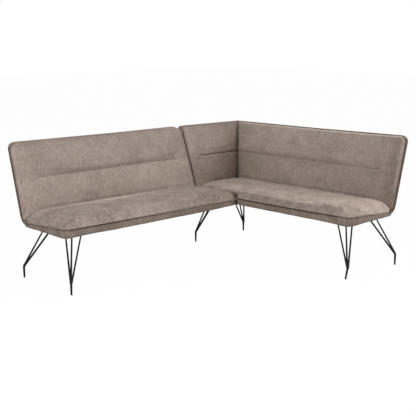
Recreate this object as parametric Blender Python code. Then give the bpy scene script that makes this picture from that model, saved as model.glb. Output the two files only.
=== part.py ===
"""Upholstered corner bench on steel rod legs, made of two modules.

The corner bench stands on four legs and carries the back that turns the
corner. The left bench has two legs at its outer end, and its other end is
bolted to the corner bench.

Every piece is drawn in the axes of the wall that it runs along: run is the
distance from the room's corner along the wall, depth the distance out from
the wall and height the distance above the floor.
"""
import math

import bmesh
import bpy
from mathutils import Matrix, Vector

# Overall sizes, in metres
HEIGHT = 0.880
CORNER_LENGTH = 1.504
CORNER_DEPTH = 0.560
LEFT_LENGTH = 1.448
LEFT_DEPTH = 0.536
JOINT_GAP = 0.003
CLEARANCE = 0.0003

# Back: reclined layers, a padded shell behind and a cushion in front
RECLINE = math.radians(15.0)
BACK_LINE_DEPTH = 0.114
BACK_THICKNESS = 0.0757
SHELL_THICKNESS = 0.020
SHELL_HEEL_RADIUS = 0.080
SHELL_EDGE_RADIUS = 0.007
BACK_CORNER_RADIUS = 0.045
BACK_JOINT_RADIUS = 0.030
JOINT_LEAN = 0.034
BACK_CUSHION_TOP_STEP = 0.010
BACK_CUSHION_ROLL = 0.022
BACK_CROWN = 0.010
CHANNEL_ABOVE_SEAT = 0.199
CHANNEL_DEPTH = 0.016
CHANNEL_HALF_WIDTH = 0.020
CHANNEL_OUTER_STOP = 0.120
CHANNEL_JOINT_STOP = 0.090
CHANNEL_FADE = 0.040
CHANNEL_FOLD = 0.006
CHANNEL_LIP = 0.004
CROWN_FADE = 0.100
MITRE_DRAW = 0.008
MITRE_DRAW_RUN = 0.035
BACK_CUSHION_EDGE = 0.004
BACK_HEEL_RISE = 0.020
BACK_HEEL_DRAW = 0.014
BACK_BOARD_THICKNESS = 0.012
BACK_BOARD_MARGIN = 0.036
BACK_BOARD_CORNER_START = 0.130

# Seat
SEAT_SHOULDER = 0.456
SEAT_THICKNESS = 0.096
LEFT_BAND_HEIGHT = 0.038
CORNER_BAND_HEIGHT = 0.046
REAR_BAND_HEIGHT = 0.028
SEAT_CROWN = 0.014
SEAT_REAR_DROP = 0.012
SEAT_REAR_ROUND = 0.014
SEAT_EDGE = 0.004
SEAT_CORNER_SINK = 0.010
SEAT_CORNER_SINK_RUN = 0.100
WATERFALL_DEPTH = 0.060
SEAT_BULGE = 0.003
SEAT_END_ROUND = 0.050
SEAT_CORNER_RADIUS = 0.046
SEAT_JOINT_RADIUS = 0.021
BAND_THICKNESS = 0.018
CUSHION_FIT = 0.002
BAND_DRAW_IN = 0.007
BAND_JOINT_LIFT = 0.0063
BAND_CORNER_DIP = 0.006
BAND_DIP_REACH = 0.260

# Plywood frame, webbing and bottom cloth
RAIL_STEP_UP = 0.006
RAIL_THICKNESS = 0.018
RAIL_WIDTH = 0.080
RAIL_REAR_DEPTH = 0.097
WALL_RAIL_WIDTH = 0.163
BEARER_WIDTH = 0.130
CROSS_RAIL_COUNT = 2
STRAP_WIDTH = 0.050
STRAP_THICKNESS = 0.0015
STRAP_PITCH = 0.095
STRAP_LAP = 0.040
CLOTH_THICKNESS = 0.001
CLOTH_EDGE = 0.004
CLOTH_WINDOW_MARGIN = 0.004

# Back brackets of bent flat steel
BRACKET_THICKNESS = 0.003
BRACKET_WIDTH = 0.040
BRACKET_RISE = 0.080
BRACKET_FOOT_END = 0.131

# Legs: three rods welded to a plate above and a bent foot rod below
ROD_DIAMETER = 0.010
FOOT_ROD_DIAMETER = 0.012
FOOT_UPRIGHT = 0.010
ROD_BEND = 0.009
ROD_END_SPREAD = 0.004
KNOT_HEIGHT = 0.078
PLATE_SIZE = 0.092
PLATE_THICKNESS = 0.004
PLATE_TRIM = 0.003
ROD_NEAR_STEP = -0.042
ROD_FAR_STEP = 0.034
PLATE_FRONT_REACH = 0.143
PLATE_REAR_REACH = 0.195
PLATE_OUTER_REACH = 0.130
PLATE_INNER_REACH = 0.110
KICKED_FOOT_STEP = 0.013
GLIDE_THICKNESS = 0.004
REAR_FOOT_DEPTH = -0.019
LEFT_FRONT_FOOT_INSET = 0.031
CORNER_FRONT_FOOT_INSET = 0.053
LEFT_FOOT_END_INSET = 0.052
CORNER_FRONT_FOOT_END_INSET = 0.054
CORNER_REAR_FOOT_END_INSET = 0.032
CORNER_INNER_FOOT_RUN = 0.052

# Bolt holes, and the plates that join the two modules
BOLT_HOLE_DIAMETER = 0.0066
BOLT_SPACING = 0.044
JOIN_PLATE_WIDTH = 0.040
JOIN_PLATE_EDGE = 0.022
JOIN_BOLT_SPACING = 0.036
JOIN_PLATE_SHARES = (0.438, 0.718)

# Sizes that follow from the ones above
LEFT_START = CORNER_DEPTH + JOINT_GAP
LEFT_END = LEFT_START + LEFT_LENGTH
BACK_LINE_HEIGHT = SEAT_SHOULDER
CHANNEL_HEIGHT = SEAT_SHOULDER + CHANNEL_ABOVE_SEAT
SEAT_UNDERSIDE = SEAT_SHOULDER - SEAT_THICKNESS
LEFT_SEAM_FRONT = SEAT_UNDERSIDE + LEFT_BAND_HEIGHT
CORNER_SEAM_FRONT = SEAT_UNDERSIDE + CORNER_BAND_HEIGHT
SEAM_REAR = SEAT_UNDERSIDE + REAR_BAND_HEIGHT
RAIL_UNDERSIDE = SEAT_UNDERSIDE + RAIL_STEP_UP
SIN = math.sin(RECLINE)
COS = math.cos(RECLINE)
BASE_DEPTH = BACK_LINE_DEPTH - BACK_THICKNESS * COS
BASE_HEIGHT = BACK_LINE_HEIGHT - BACK_THICKNESS * SIN
SHELL_HALF = SHELL_THICKNESS / 2
SHELL_TOP = (HEIGHT - BASE_HEIGHT - SHELL_HALF * SIN - SHELL_HALF) / COS + SHELL_HALF
REAR_REACH = BASE_DEPTH - (SHELL_TOP - SHELL_HALF) * SIN + SHELL_HALF * COS - SHELL_HALF
CHANNEL_RISE = (CHANNEL_HEIGHT - BASE_HEIGHT - BACK_THICKNESS * SIN) / COS
RAIL_TOP = RAIL_UNDERSIDE + RAIL_THICKNESS
CUSHION_UNDERSIDE = RAIL_TOP + STRAP_THICKNESS + 3 * CLEARANCE
PLATE_TOP = RAIL_UNDERSIDE - CLEARANCE
BOARD_BOTTOM = -0.050
RELIEF_TOP = BRACKET_RISE + 0.005


class Wall:
    """A wall of the room: which way its run points, and how it is turned."""

    def __init__(self, turn, hand):
        self.turn = turn
        self.hand = hand


LEFT_WALL = Wall(math.pi, 1)
RIGHT_WALL = Wall(math.pi / 2, -1)


def new_collection(name):
    """Add a collection to the scene."""
    collection = bpy.data.collections.new(name)
    bpy.context.scene.collection.children.link(collection)
    return collection


def new_material(name, colour, roughness, metallic=0.0):
    """Make a Principled material and show its colour in the viewport."""
    material = bpy.data.materials.new(name)
    material.use_nodes = True
    shader = material.node_tree.nodes["Principled BSDF"]
    shader.inputs["Base Color"].default_value = (*colour, 1.0)
    shader.inputs["Roughness"].default_value = roughness
    shader.inputs["Metallic"].default_value = metallic
    material.diffuse_color = (*colour, 1.0)
    return material


def place(name, mesh, wall, material, collection=None):
    """Put a mesh in the scene under its wall's turn."""
    piece = bpy.data.objects.new(name, mesh)
    piece.parent = corner_point
    piece.rotation_euler.z = wall.turn
    (collection or parts).objects.link(piece)
    if material:
        mesh.materials.append(material)
    return piece


def as_cutter(piece):
    """Mark an object as a cutting tool."""
    piece.hide_render = True
    piece.display_type = "WIRE"
    return piece


def cut(piece, cutter, operation="DIFFERENCE"):
    """Cut one object by another."""
    boolean = piece.modifiers.new(cutter.name, "BOOLEAN")
    boolean.object = cutter
    boolean.operation = operation
    boolean.solver = "EXACT"


def finish_mesh(bm, name, smooth=None):
    """Turn a bmesh into a mesh with its faces pointing out."""
    if bm.calc_volume(signed=True) < 0:
        bmesh.ops.reverse_faces(bm, faces=bm.faces)
    mesh = bpy.data.meshes.new(name)
    bm.to_mesh(mesh)
    bm.free()
    if smooth:
        mesh.shade_smooth()
        mesh.set_sharp_from_angle(angle=smooth)
    return mesh


def loft(name, wall, rings, material, collection=None):
    """Skin a row of closed rings of (run, depth, height) and cap both ends."""
    bm = bmesh.new()
    rows = []
    for ring in rings:
        points = [Vector((run * wall.hand, depth, height)) for run, depth, height in ring]
        rows.append([bm.verts.new(point) for point in points])
    count = len(rows[0])
    for row, following in zip(rows, rows[1:]):
        for i in range(count):
            j = (i + 1) % count
            bm.faces.new((row[i], row[j], following[j], following[i]))
    bm.faces.new(reversed(rows[0]))
    bm.faces.new(rows[-1])
    mesh = finish_mesh(bm, name, math.radians(40))
    return place(name, mesh, wall, material, collection)


def box(name, wall, low, high, material, corner_rounds=(), collection=None):
    """A board between two corners in (run, depth, height).

    corner_rounds holds (run side, depth side, radius) for upright edges that
    are rounded, with -1 for the low side and 1 for the high one.
    """
    low = Vector(low)
    high = Vector(high)
    middle = (low + high) / 2
    bm = bmesh.new()
    bmesh.ops.create_cube(bm, size=1.0)
    bmesh.ops.scale(bm, vec=high - low, verts=bm.verts)
    bmesh.ops.translate(bm, vec=middle, verts=bm.verts)
    for run_side, depth_side, radius in corner_rounds:
        edges = [
            edge for edge in bm.edges
            if all((vert.co.x - middle.x) * run_side > 0 for vert in edge.verts)
            and all((vert.co.y - middle.y) * depth_side > 0 for vert in edge.verts)
        ]
        bmesh.ops.bevel(bm, geom=edges, offset=radius, segments=5, profile=0.5, affect="EDGES")
    for vert in bm.verts:
        vert.co.x *= wall.hand
    return place(name, finish_mesh(bm, name), wall, material, collection)


def inset(distance, radius):
    """How far a rounded corner has drawn in at a distance from its end."""
    if distance >= radius:
        return 0.0
    return radius - math.sqrt(max(radius ** 2 - (radius - distance) ** 2, 0.0))


def ease(value):
    """A smooth step from 0 to 1."""
    value = min(max(value, 0.0), 1.0)
    return value * value * (3 - 2 * value)


def arc(centre, radius, start, end, steps):
    """Points along an arc, with angles in degrees."""
    points = []
    for i in range(steps + 1):
        angle = math.radians(start + (end - start) * i / steps)
        points.append((centre[0] + radius * math.cos(angle), centre[1] + radius * math.sin(angle)))
    return points


def on_back(rise, layer):
    """The (depth, height) of a point in the reclined layers of the back."""
    depth = BASE_DEPTH - rise * SIN + layer * COS
    height = BASE_HEIGHT + rise * COS + layer * SIN
    return depth, height


def joint_lean(height):
    """The backs' joint leans away from the corner as it rises."""
    return JOINT_LEAN * (height - BACK_LINE_HEIGHT) / (HEIGHT - BACK_LINE_HEIGHT)


def corner_run(depth, height):
    """Where a back meets its neighbour on the corner's mitre."""
    return depth + CLEARANCE


def left_joint_run(depth, height):
    """Where the left bench's back starts, beside the return of the corner."""
    return LEFT_START + joint_lean(height)


class BackSpan:
    """One back: its wall and how its two ends are shaped."""

    def __init__(self, name, wall, start, end, start_radius, end_radius, start_stop, end_stop):
        self.name = name
        self.wall = wall
        self.start = start
        self.end = end
        self.start_radius = start_radius
        self.end_radius = end_radius
        self.start_stop = start_stop
        self.end_stop = end_stop

    def stations(self, pitch):
        """Distances from the start and from the end for each ring of a loft."""
        near = [(distance, None) for distance in end_distances(self.start_radius, self.start_stop)]
        far = [(None, distance) for distance in end_distances(self.end_radius, self.end_stop)]
        last_near = near[-1][0]
        last_far = far[-1][1]
        start = self.start(*on_back(SHELL_TOP / 2, 0)) + last_near
        end = self.end(*on_back(SHELL_TOP / 2, 0)) - last_far
        steps = max(int(round((end - start) / pitch)), 1)
        middle = [(None, None, start + (end - start) * i / steps) for i in range(1, steps)]
        return [(a, b, None) for a, b in near] + middle + [(a, b, None) for a, b in reversed(far)]

    def ring(self, station, outline):
        """Place one ring of (depth, height) points along the wall."""
        near, far, run = station
        points = []
        for depth, height in outline:
            if near is not None:
                points.append((self.start(depth, height) + near, depth, height))
            elif far is not None:
                points.append((self.end(depth, height) - far, depth, height))
            else:
                points.append((run, depth, height))
        return points

    def end_distance(self, station):
        """The distance to the nearer rounded end, and that end's radius."""
        near, far, run = station
        if near is not None:
            return near, self.start_radius
        if far is not None:
            return far, self.end_radius
        return 1.0, self.end_radius

    def channel_strength(self, station):
        """1 along the stitched channel, fading to 0 before an open end."""
        near, far, run = station
        if near is not None and self.start_stop:
            return ease((near - self.start_stop) / CHANNEL_FADE)
        if far is not None and self.end_stop:
            return ease((far - self.end_stop) / CHANNEL_FADE)
        return 1.0


def end_distances(radius, stop):
    """Ring distances that resolve a rounded end and the end of the channel."""
    distances = [0.0]
    if radius:
        distances += [radius * share for share in (0.08, 0.3, 0.6, 1.0)]
    else:
        distances += [0.012, 0.035]
    if stop:
        distances += [stop, stop + CHANNEL_FADE / 2, stop + CHANNEL_FADE]
    return distances


def back_shell(span, material):
    """The padded shell behind the back, curving under at its heel."""
    heel_top_turn = 180 + math.degrees(RECLINE)
    heel_height = RAIL_UNDERSIDE + SHELL_HEEL_RADIUS
    rear_at_heel = BASE_DEPTH + (BASE_HEIGHT - heel_height) * math.tan(RECLINE)
    heel_centre = (rear_at_heel + SHELL_HEEL_RADIUS / COS, heel_height)
    heel_end = RAIL_REAR_DEPTH - CLEARANCE
    rings = []
    for station in span.stations(0.30):
        distance, radius = span.end_distance(station)
        thin = inset(distance, SHELL_EDGE_RADIUS) if radius else 0.0
        top = SHELL_TOP - (inset(distance, radius) if radius else 0.0)
        heel_radius = SHELL_HEEL_RADIUS - thin
        end_turn = 180 + math.degrees(math.acos((heel_centre[0] - heel_end) / heel_radius))
        heel = arc(heel_centre, heel_radius, end_turn, heel_top_turn, 5)
        half = (SHELL_THICKNESS - thin) / 2
        crest = []
        for rise, layer in arc((0.0, 0.0), half, 180, 0, 5):
            crest.append(on_back(top - half + layer, thin + half + rise))
        foot = on_back((RAIL_TOP - BASE_HEIGHT - SHELL_THICKNESS * SIN) / COS, SHELL_THICKNESS)
        outline = heel + crest + [foot, (heel_end, RAIL_TOP)]
        rings.append(span.ring(station, outline))
    return loft(span.name + "_back_shell", span.wall, rings, material)


def back_cushion(span, material):
    """The front cushion of a back, crowned above and below its channel."""
    rear = SHELL_THICKNESS + CLEARANCE
    relief = rear + BRACKET_THICKNESS + CLEARANCE
    full_top = SHELL_TOP - BACK_CUSHION_TOP_STEP
    shoulder = BACK_THICKNESS - BACK_CROWN
    lower = (BOARD_BOTTOM + BACK_HEEL_RISE, CHANNEL_RISE - CHANNEL_HALF_WIDTH)
    rings = []
    for station in span.stations(0.14):
        distance, radius = span.end_distance(station)
        drawn = MITRE_DRAW * ease(1 - distance / MITRE_DRAW_RUN)
        if radius:
            drawn = inset(distance, BACK_CUSHION_ROLL)
        top = full_top - (inset(distance, radius) if radius else 0.0)
        upper = (CHANNEL_RISE + CHANNEL_HALF_WIDTH, top - BACK_CUSHION_ROLL)
        flat = ease(distance / CROWN_FADE) if radius else 1.0
        face = shoulder - drawn
        outline = [on_back(BOARD_BOTTOM, relief), on_back(RELIEF_TOP, relief)]
        outline += [on_back(RELIEF_TOP + 0.001, rear), on_back(top - BACK_CUSHION_EDGE, rear)]
        for rise, layer in arc((0.0, 0.0), 1.0, 90, 0, 4):
            roll = rear + BACK_CUSHION_EDGE + (face - rear - BACK_CUSHION_EDGE) * rise
            outline.append(on_back(top - BACK_CUSHION_ROLL * (1 - layer), roll))
        strength = span.channel_strength(station)
        for share in (0.25, 0.5, 0.75):
            rise = upper[1] + (upper[0] - upper[1]) * share
            outline.append(on_back(rise, face + BACK_CROWN * flat * math.sin(math.pi * share)))
        level = face + BACK_CROWN * 0.7 * flat * (1 - strength)
        tuck = CHANNEL_DEPTH * strength
        outline.append(on_back(upper[0], level + CHANNEL_LIP * 0.75 * strength))
        outline.append(on_back(CHANNEL_RISE + CHANNEL_FOLD, level - tuck * 0.7))
        outline.append(on_back(CHANNEL_RISE, level - tuck))
        outline.append(on_back(CHANNEL_RISE - CHANNEL_LIP, level - tuck * 0.6))
        outline.append(on_back(lower[1], level + CHANNEL_LIP * strength))
        for share in (0.2, 0.45, 0.7, 0.9):
            rise = lower[1] + (lower[0] - lower[1]) * share
            crown = BACK_CROWN * flat * math.sin(math.pi * min(share * 1.2, 1.0))
            outline.append(on_back(rise, face + crown))
        outline.append(on_back(lower[0], face - 0.002))
        outline.append(on_back(BOARD_BOTTOM, face - BACK_HEEL_DRAW))
        rings.append(span.ring(station, outline))
    return loft(span.name + "_back_cushion", span.wall, rings, material)


def back_board(span, start, end, material):
    """The plywood board inside a back, let into the front of its shell."""
    top = SHELL_TOP - BACK_BOARD_MARGIN

    def slab(name, grow, front, skin, collection=None):
        layers = (SHELL_THICKNESS - BACK_BOARD_THICKNESS - grow, front)
        outline = [
            on_back(BOARD_BOTTOM - grow, layers[0]), on_back(top + grow, layers[0]),
            on_back(top + grow, layers[1]), on_back(BOARD_BOTTOM - grow, layers[1]),
        ]
        rings = []
        for run in (start - grow, end + grow):
            rings.append([(run, depth, height) for depth, height in outline])
        return loft(name, span.wall, rings, skin, collection)

    name = span.name + "_back_board"
    board = slab(name, 0.0, SHELL_THICKNESS - CLEARANCE, material)
    pocket = slab(name + "_pocket", CLEARANCE, SHELL_THICKNESS + 0.02, None, cutters)
    cut(bpy.data.objects[span.name + "_back_shell"], as_cutter(pocket))
    return board


def back_bracket(name, wall, run, material):
    """A bent flat bar from the top of the rear rail up the back board."""
    inner = SHELL_THICKNESS + CLEARANCE
    outer = inner + BRACKET_THICKNESS
    low = RAIL_TOP + CLEARANCE
    high = low + BRACKET_THICKNESS

    def at_height(layer, height):
        rise = (height - BASE_HEIGHT - layer * SIN) / COS
        return on_back(rise, layer)

    outline = [
        at_height(inner, low), on_back(BRACKET_RISE, inner), on_back(BRACKET_RISE, outer),
        at_height(outer, high), (BRACKET_FOOT_END, high), (BRACKET_FOOT_END, low),
    ]
    rings = []
    for side in (-0.5, 0.5):
        rings.append([(run + BRACKET_WIDTH * side, depth, height) for depth, height in outline])
    return loft(name, wall, rings, material)


class Seat:
    """A seat module: its extent, its seam heights and its frame's bays."""

    def __init__(self, name, wall, start, end, depth, seam_front, joint_start):
        self.name = name
        self.wall = wall
        self.start = start
        self.end = end
        self.depth = depth
        self.seam_front = seam_front
        self.joint_start = joint_start
        self.frame_start = start + BAND_THICKNESS + CLEARANCE if joint_start else start
        self.frame_end = end - BAND_THICKNESS - CLEARANCE
        self.frame_front = depth - BAND_THICKNESS - CLEARANCE

    def seam(self, depth):
        """The seam between band and cushion rises towards the front."""
        share = (depth - RAIL_REAR_DEPTH) / (self.depth - RAIL_REAR_DEPTH)
        return SEAM_REAR + (self.seam_front - SEAM_REAR) * share


def rear_face(height):
    """The depth of a seat cushion's rear face, against the back."""
    return BACK_LINE_DEPTH + 0.001 - (height - BACK_LINE_HEIGHT) * math.tan(RECLINE)


def seat_outline(seat, distance, corner_radius, on_band):
    """The cushion's outline across its depth, at a distance from one end."""
    front = seat.depth - inset(distance, corner_radius)
    full = SEAT_SHOULDER - SEAT_END_ROUND * 0.35 * (1 - ease(distance / (2.5 * SEAT_END_ROUND)))
    lift = math.sqrt(max(1 - (1 - min(distance / SEAT_END_ROUND, 1.0)) ** 2, 0.0144))
    rear_floor = seat.seam(rear_face(SEAM_REAR)) + CLEARANCE if on_band else CUSHION_UNDERSIDE
    shelf = seat.seam(front) + CLEARANCE

    def raised(depth, height):
        base = seat.seam(depth)
        return base + (height - base) * lift

    rear_top = raised(BACK_LINE_DEPTH, full - SEAT_REAR_DROP)
    outline = [(rear_face(rear_floor), rear_floor), (rear_face(rear_top), rear_top)]
    shoulder_end = front - WATERFALL_DEPTH
    first = BACK_LINE_DEPTH + SEAT_REAR_ROUND
    for share in (0.0, 0.12, 0.3, 0.55, 0.8, 1.0):
        depth = first + (shoulder_end - first) * share
        crown = SEAT_CROWN * (1 - (2 * share - 1) ** 2 * 0.55)
        outline.append((depth, raised(depth, full + crown - SEAT_EDGE)))
    top = full + SEAT_CROWN * 0.45 - SEAT_EDGE
    for step in (1, 2, 3, 4):
        angle = math.radians(90 - 22 * step)
        depth = shoulder_end + (WATERFALL_DEPTH + SEAT_BULGE) * math.cos(angle)
        height = shelf + SEAT_EDGE + (raised(front, top) - shelf - SEAT_EDGE) * math.sin(angle)
        outline.append((depth, height))
    outline.append((front - 0.001, seat.seam(front - 0.001) + CLEARANCE))
    inside = max(distance - BAND_THICKNESS - CUSHION_FIT / 2, 0.0)
    drawn = inset(inside, corner_radius - BAND_THICKNESS)
    inner = seat.depth - BAND_THICKNESS - drawn - CUSHION_FIT
    shelf_end = seat.seam(inner) + CLEARANCE
    outline.append((inner, shelf_end))
    below = (inner - CLEARANCE, CUSHION_UNDERSIDE)
    if on_band:
        below = (inner - 0.01, seat.seam(inner - 0.01) + CLEARANCE)
    outline.append(below)
    return outline


def seat_cushion(seat, material):
    """A crowned seat cushion with a waterfall front and drawn-in seam."""
    rings = []
    edge = BAND_THICKNESS + CLEARANCE
    outer_steps = (0.0, 0.002, 0.008, edge, edge + 0.0006, 0.032, 0.050, 0.080, 0.125)
    joint_steps = (0.0, 0.003, 0.010, edge, edge + 0.0006, 0.035, 0.060, 0.125)
    if seat.joint_start:
        for step in joint_steps:
            outline = seat_outline(seat, step, SEAT_JOINT_RADIUS, step <= edge)
            rings.append([(seat.start + step, depth, height) for depth, height in outline])
        first = seat.start + joint_steps[-1]
    else:
        for step in (0.0, 0.030, SEAT_CORNER_SINK_RUN):
            outline = seat_outline(seat, 1.0, SEAT_CORNER_RADIUS, False)
            sink = SEAT_CORNER_SINK * (1 - ease(step / SEAT_CORNER_SINK_RUN))
            ring = []
            for depth, height in outline:
                lowered = height - sink if height > SEAT_SHOULDER - 0.02 else height
                ring.append((rear_face(lowered) + step, depth, lowered))
            rings.append(ring)
        first = seat.start + 0.180
    last = seat.end - outer_steps[-1]
    steps = max(int(round((last - first) / 0.22)), 1)
    for i in range(1, steps):
        outline = seat_outline(seat, 1.0, SEAT_CORNER_RADIUS, False)
        run = first + (last - first) * i / steps
        rings.append([(run, depth, height) for depth, height in outline])
    for step in reversed(outer_steps):
        outline = seat_outline(seat, step, SEAT_CORNER_RADIUS, step <= edge)
        rings.append([(seat.end - step, depth, height) for depth, height in outline])
    return loft(seat.name + "_seat_cushion", seat.wall, rings, material)


def seat_border(seat, material):
    """The padded band round the frame, open at the rear."""
    path = []
    rear = RAIL_REAR_DEPTH + CLEARANCE
    corners = []
    if seat.joint_start:
        path.append((seat.start, rear, (-1, 0)))
        corners.append((seat.start, SEAT_JOINT_RADIUS, 180))
    else:
        path.append((rear_face(seat.seam_front) + CLEARANCE, seat.depth, (0, 1)))
    corners.append((seat.end, SEAT_CORNER_RADIUS, 90))
    for run, radius, turn in corners:
        side = 1 if turn == 180 else -1
        if side < 0:
            for share in (1.0, 0.7, 0.4):
                path.append((run - BAND_DIP_REACH * share, seat.depth, (0, 1)))
        centre = (run + side * radius, seat.depth - radius)
        for i in range(6):
            angle = math.radians(turn - 18 * i)
            normal = (math.cos(angle), math.sin(angle))
            path.append((centre[0] + radius * normal[0], centre[1] + radius * normal[1], normal))
    path.append((seat.end, rear, (1, 0)))
    rings = []
    for run, depth, normal in path:
        top = None
        low = SEAT_UNDERSIDE
        if seat.joint_start and normal[0] < -0.5:
            low += BAND_JOINT_LIFT
        from_corner = math.hypot(seat.end - run, seat.depth - depth)
        low -= BAND_CORNER_DIP * (1 - ease(from_corner / BAND_DIP_REACH))
        section = (
            (-0.002, top), (0.0, seat.seam(depth) - 0.010), (0.0, (seat.seam(depth) + low) / 2),
            (-0.002, low + 0.008), (-BAND_DRAW_IN, low), (-BAND_THICKNESS, low), (-BAND_THICKNESS, top),
        )
        ring = []
        for offset, height in section:
            across = depth + normal[1] * offset
            level = seat.seam(across) if height is top else height
            ring.append((run + normal[0] * offset, across, level))
        rings.append(ring)
    return loft(seat.name + "_seat_border", seat.wall, rings, material)


def rail(name, seat, run, depth, corner_rounds=()):
    """A plywood rail of the seat frame between two runs and two depths."""
    low = (run[0], depth[0], RAIL_UNDERSIDE)
    high = (run[1], depth[1], RAIL_TOP)
    return box(name, seat.wall, low, high, plywood, corner_rounds)


def seat_frame(seat, bearers):
    """Front and rear rails, with the bearers and cross rails between them."""
    rear = (RAIL_REAR_DEPTH, RAIL_REAR_DEPTH + RAIL_WIDTH)
    front = (seat.frame_front - RAIL_WIDTH, seat.frame_front)
    between = (rear[1] + CLEARANCE, front[0] - CLEARANCE)
    full = (seat.frame_start, seat.frame_end)
    outer_round = SEAT_CORNER_RADIUS - BAND_THICKNESS
    rail(seat.name + "_rear_rail", seat, full, rear)
    rounds = [(1, 1, outer_round)]
    if seat.joint_start:
        rounds.append((-1, 1, SEAT_JOINT_RADIUS - BAND_THICKNESS))
    rail(seat.name + "_front_rail", seat, full, front, rounds)
    for name, start, end in bearers:
        rail(seat.name + "_" + name, seat, (start, end), between)


def cross_rails(seat, start, end):
    """Where the cross rails stand between two bearers."""
    pitch = (end - start) / (CROSS_RAIL_COUNT + 1)
    rows = []
    for i in range(CROSS_RAIL_COUNT):
        middle = start + pitch * (i + 1)
        rows.append(("cross_rail_%d" % (i + 1), middle - RAIL_WIDTH / 2, middle + RAIL_WIDTH / 2))
    return rows


def straps(name, seat, spans):
    """Flat straps between two (run, depth) corners, lying on the rails."""
    bm = bmesh.new()
    level = RAIL_TOP + CLEARANCE + STRAP_THICKNESS / 2
    for (run_low, depth_low), (run_high, depth_high) in spans:
        centre = ((run_low + run_high) / 2 * seat.wall.hand, (depth_low + depth_high) / 2, level)
        size = Matrix.Diagonal((run_high - run_low, depth_high - depth_low, STRAP_THICKNESS, 1.0))
        bmesh.ops.create_cube(bm, size=1.0, matrix=Matrix.Translation(centre) @ size)
    return finish_mesh(bm, name)


def webbing(seat, start, end):
    """Elastic straps laid across the rails and sewn to two long straps."""
    count = int((end - start) / STRAP_PITCH)
    pitch = (end - start) / count
    rear = BRACKET_FOOT_END + JOINT_GAP
    front = seat.frame_front - RAIL_WIDTH + STRAP_LAP
    across = []
    for i in range(count):
        middle = start + pitch * (i + 0.5)
        across.append(((middle - STRAP_WIDTH / 2, rear), (middle + STRAP_WIDTH / 2, front)))
    along = []
    for share in (0.38, 0.68):
        middle = rear + (front - rear) * share
        along.append((
            (start - STRAP_LAP, middle - STRAP_WIDTH / 2), (end + STRAP_LAP, middle + STRAP_WIDTH / 2),
        ))
    name = seat.name + "_seat_webbing"
    mat = place(name, straps(name, seat, along), seat.wall, web)
    crossing = straps(name + "_across", seat, across)
    cut(mat, as_cutter(place(name + "_across", crossing, seat.wall, None, cutters)), "UNION")
    return mat


def bottom_cloth(seat, plates):
    """The cloth under the frame, cut away round the leg plates."""
    edge = CLOTH_EDGE
    low = (seat.frame_start + edge, RAIL_REAR_DEPTH + edge, PLATE_TOP - CLOTH_THICKNESS)
    high = (seat.frame_end - edge, seat.frame_front - edge, PLATE_TOP)
    rounds = [(1, 1, SEAT_CORNER_RADIUS - BAND_THICKNESS)]
    cloth = box(seat.name + "_bottom_cloth", seat.wall, low, high, black_cloth, rounds)
    for i, (run_low, run_high, depth_low, depth_high) in enumerate(plates):
        grow = CLOTH_WINDOW_MARGIN
        name = "%s_cloth_window_%d" % (seat.name, i + 1)
        window_low = (run_low - grow, depth_low - grow, low[2] - 0.01)
        window_high = (run_high + grow, depth_high + grow, high[2] + 0.01)
        window = box(name, seat.wall, window_low, window_high, None, (), cutters)
        cut(cloth, as_cutter(window))
    return cloth


def rod_mesh(points, diameter):
    """A round rod along some points, as a welded mesh."""
    curve = bpy.data.curves.new("rod", "CURVE")
    curve.dimensions = "3D"
    curve.bevel_depth = diameter / 2
    curve.bevel_resolution = 2
    curve.use_fill_caps = True
    spline = curve.splines.new("POLY")
    spline.points.add(len(points) - 1)
    for target, point in zip(spline.points, points):
        target.co = (*point, 1.0)
    rod = bpy.data.objects.new("rod", curve)
    cutters.objects.link(rod)
    bpy.context.view_layer.update()
    evaluated = rod.evaluated_get(bpy.context.evaluated_depsgraph_get())
    mesh = bpy.data.meshes.new_from_object(evaluated)
    bpy.data.objects.remove(rod)
    bm = bmesh.new()
    bm.from_mesh(mesh)
    bmesh.ops.remove_doubles(bm, verts=bm.verts, dist=0.00001)
    bm.to_mesh(mesh)
    bm.free()
    return mesh


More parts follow.
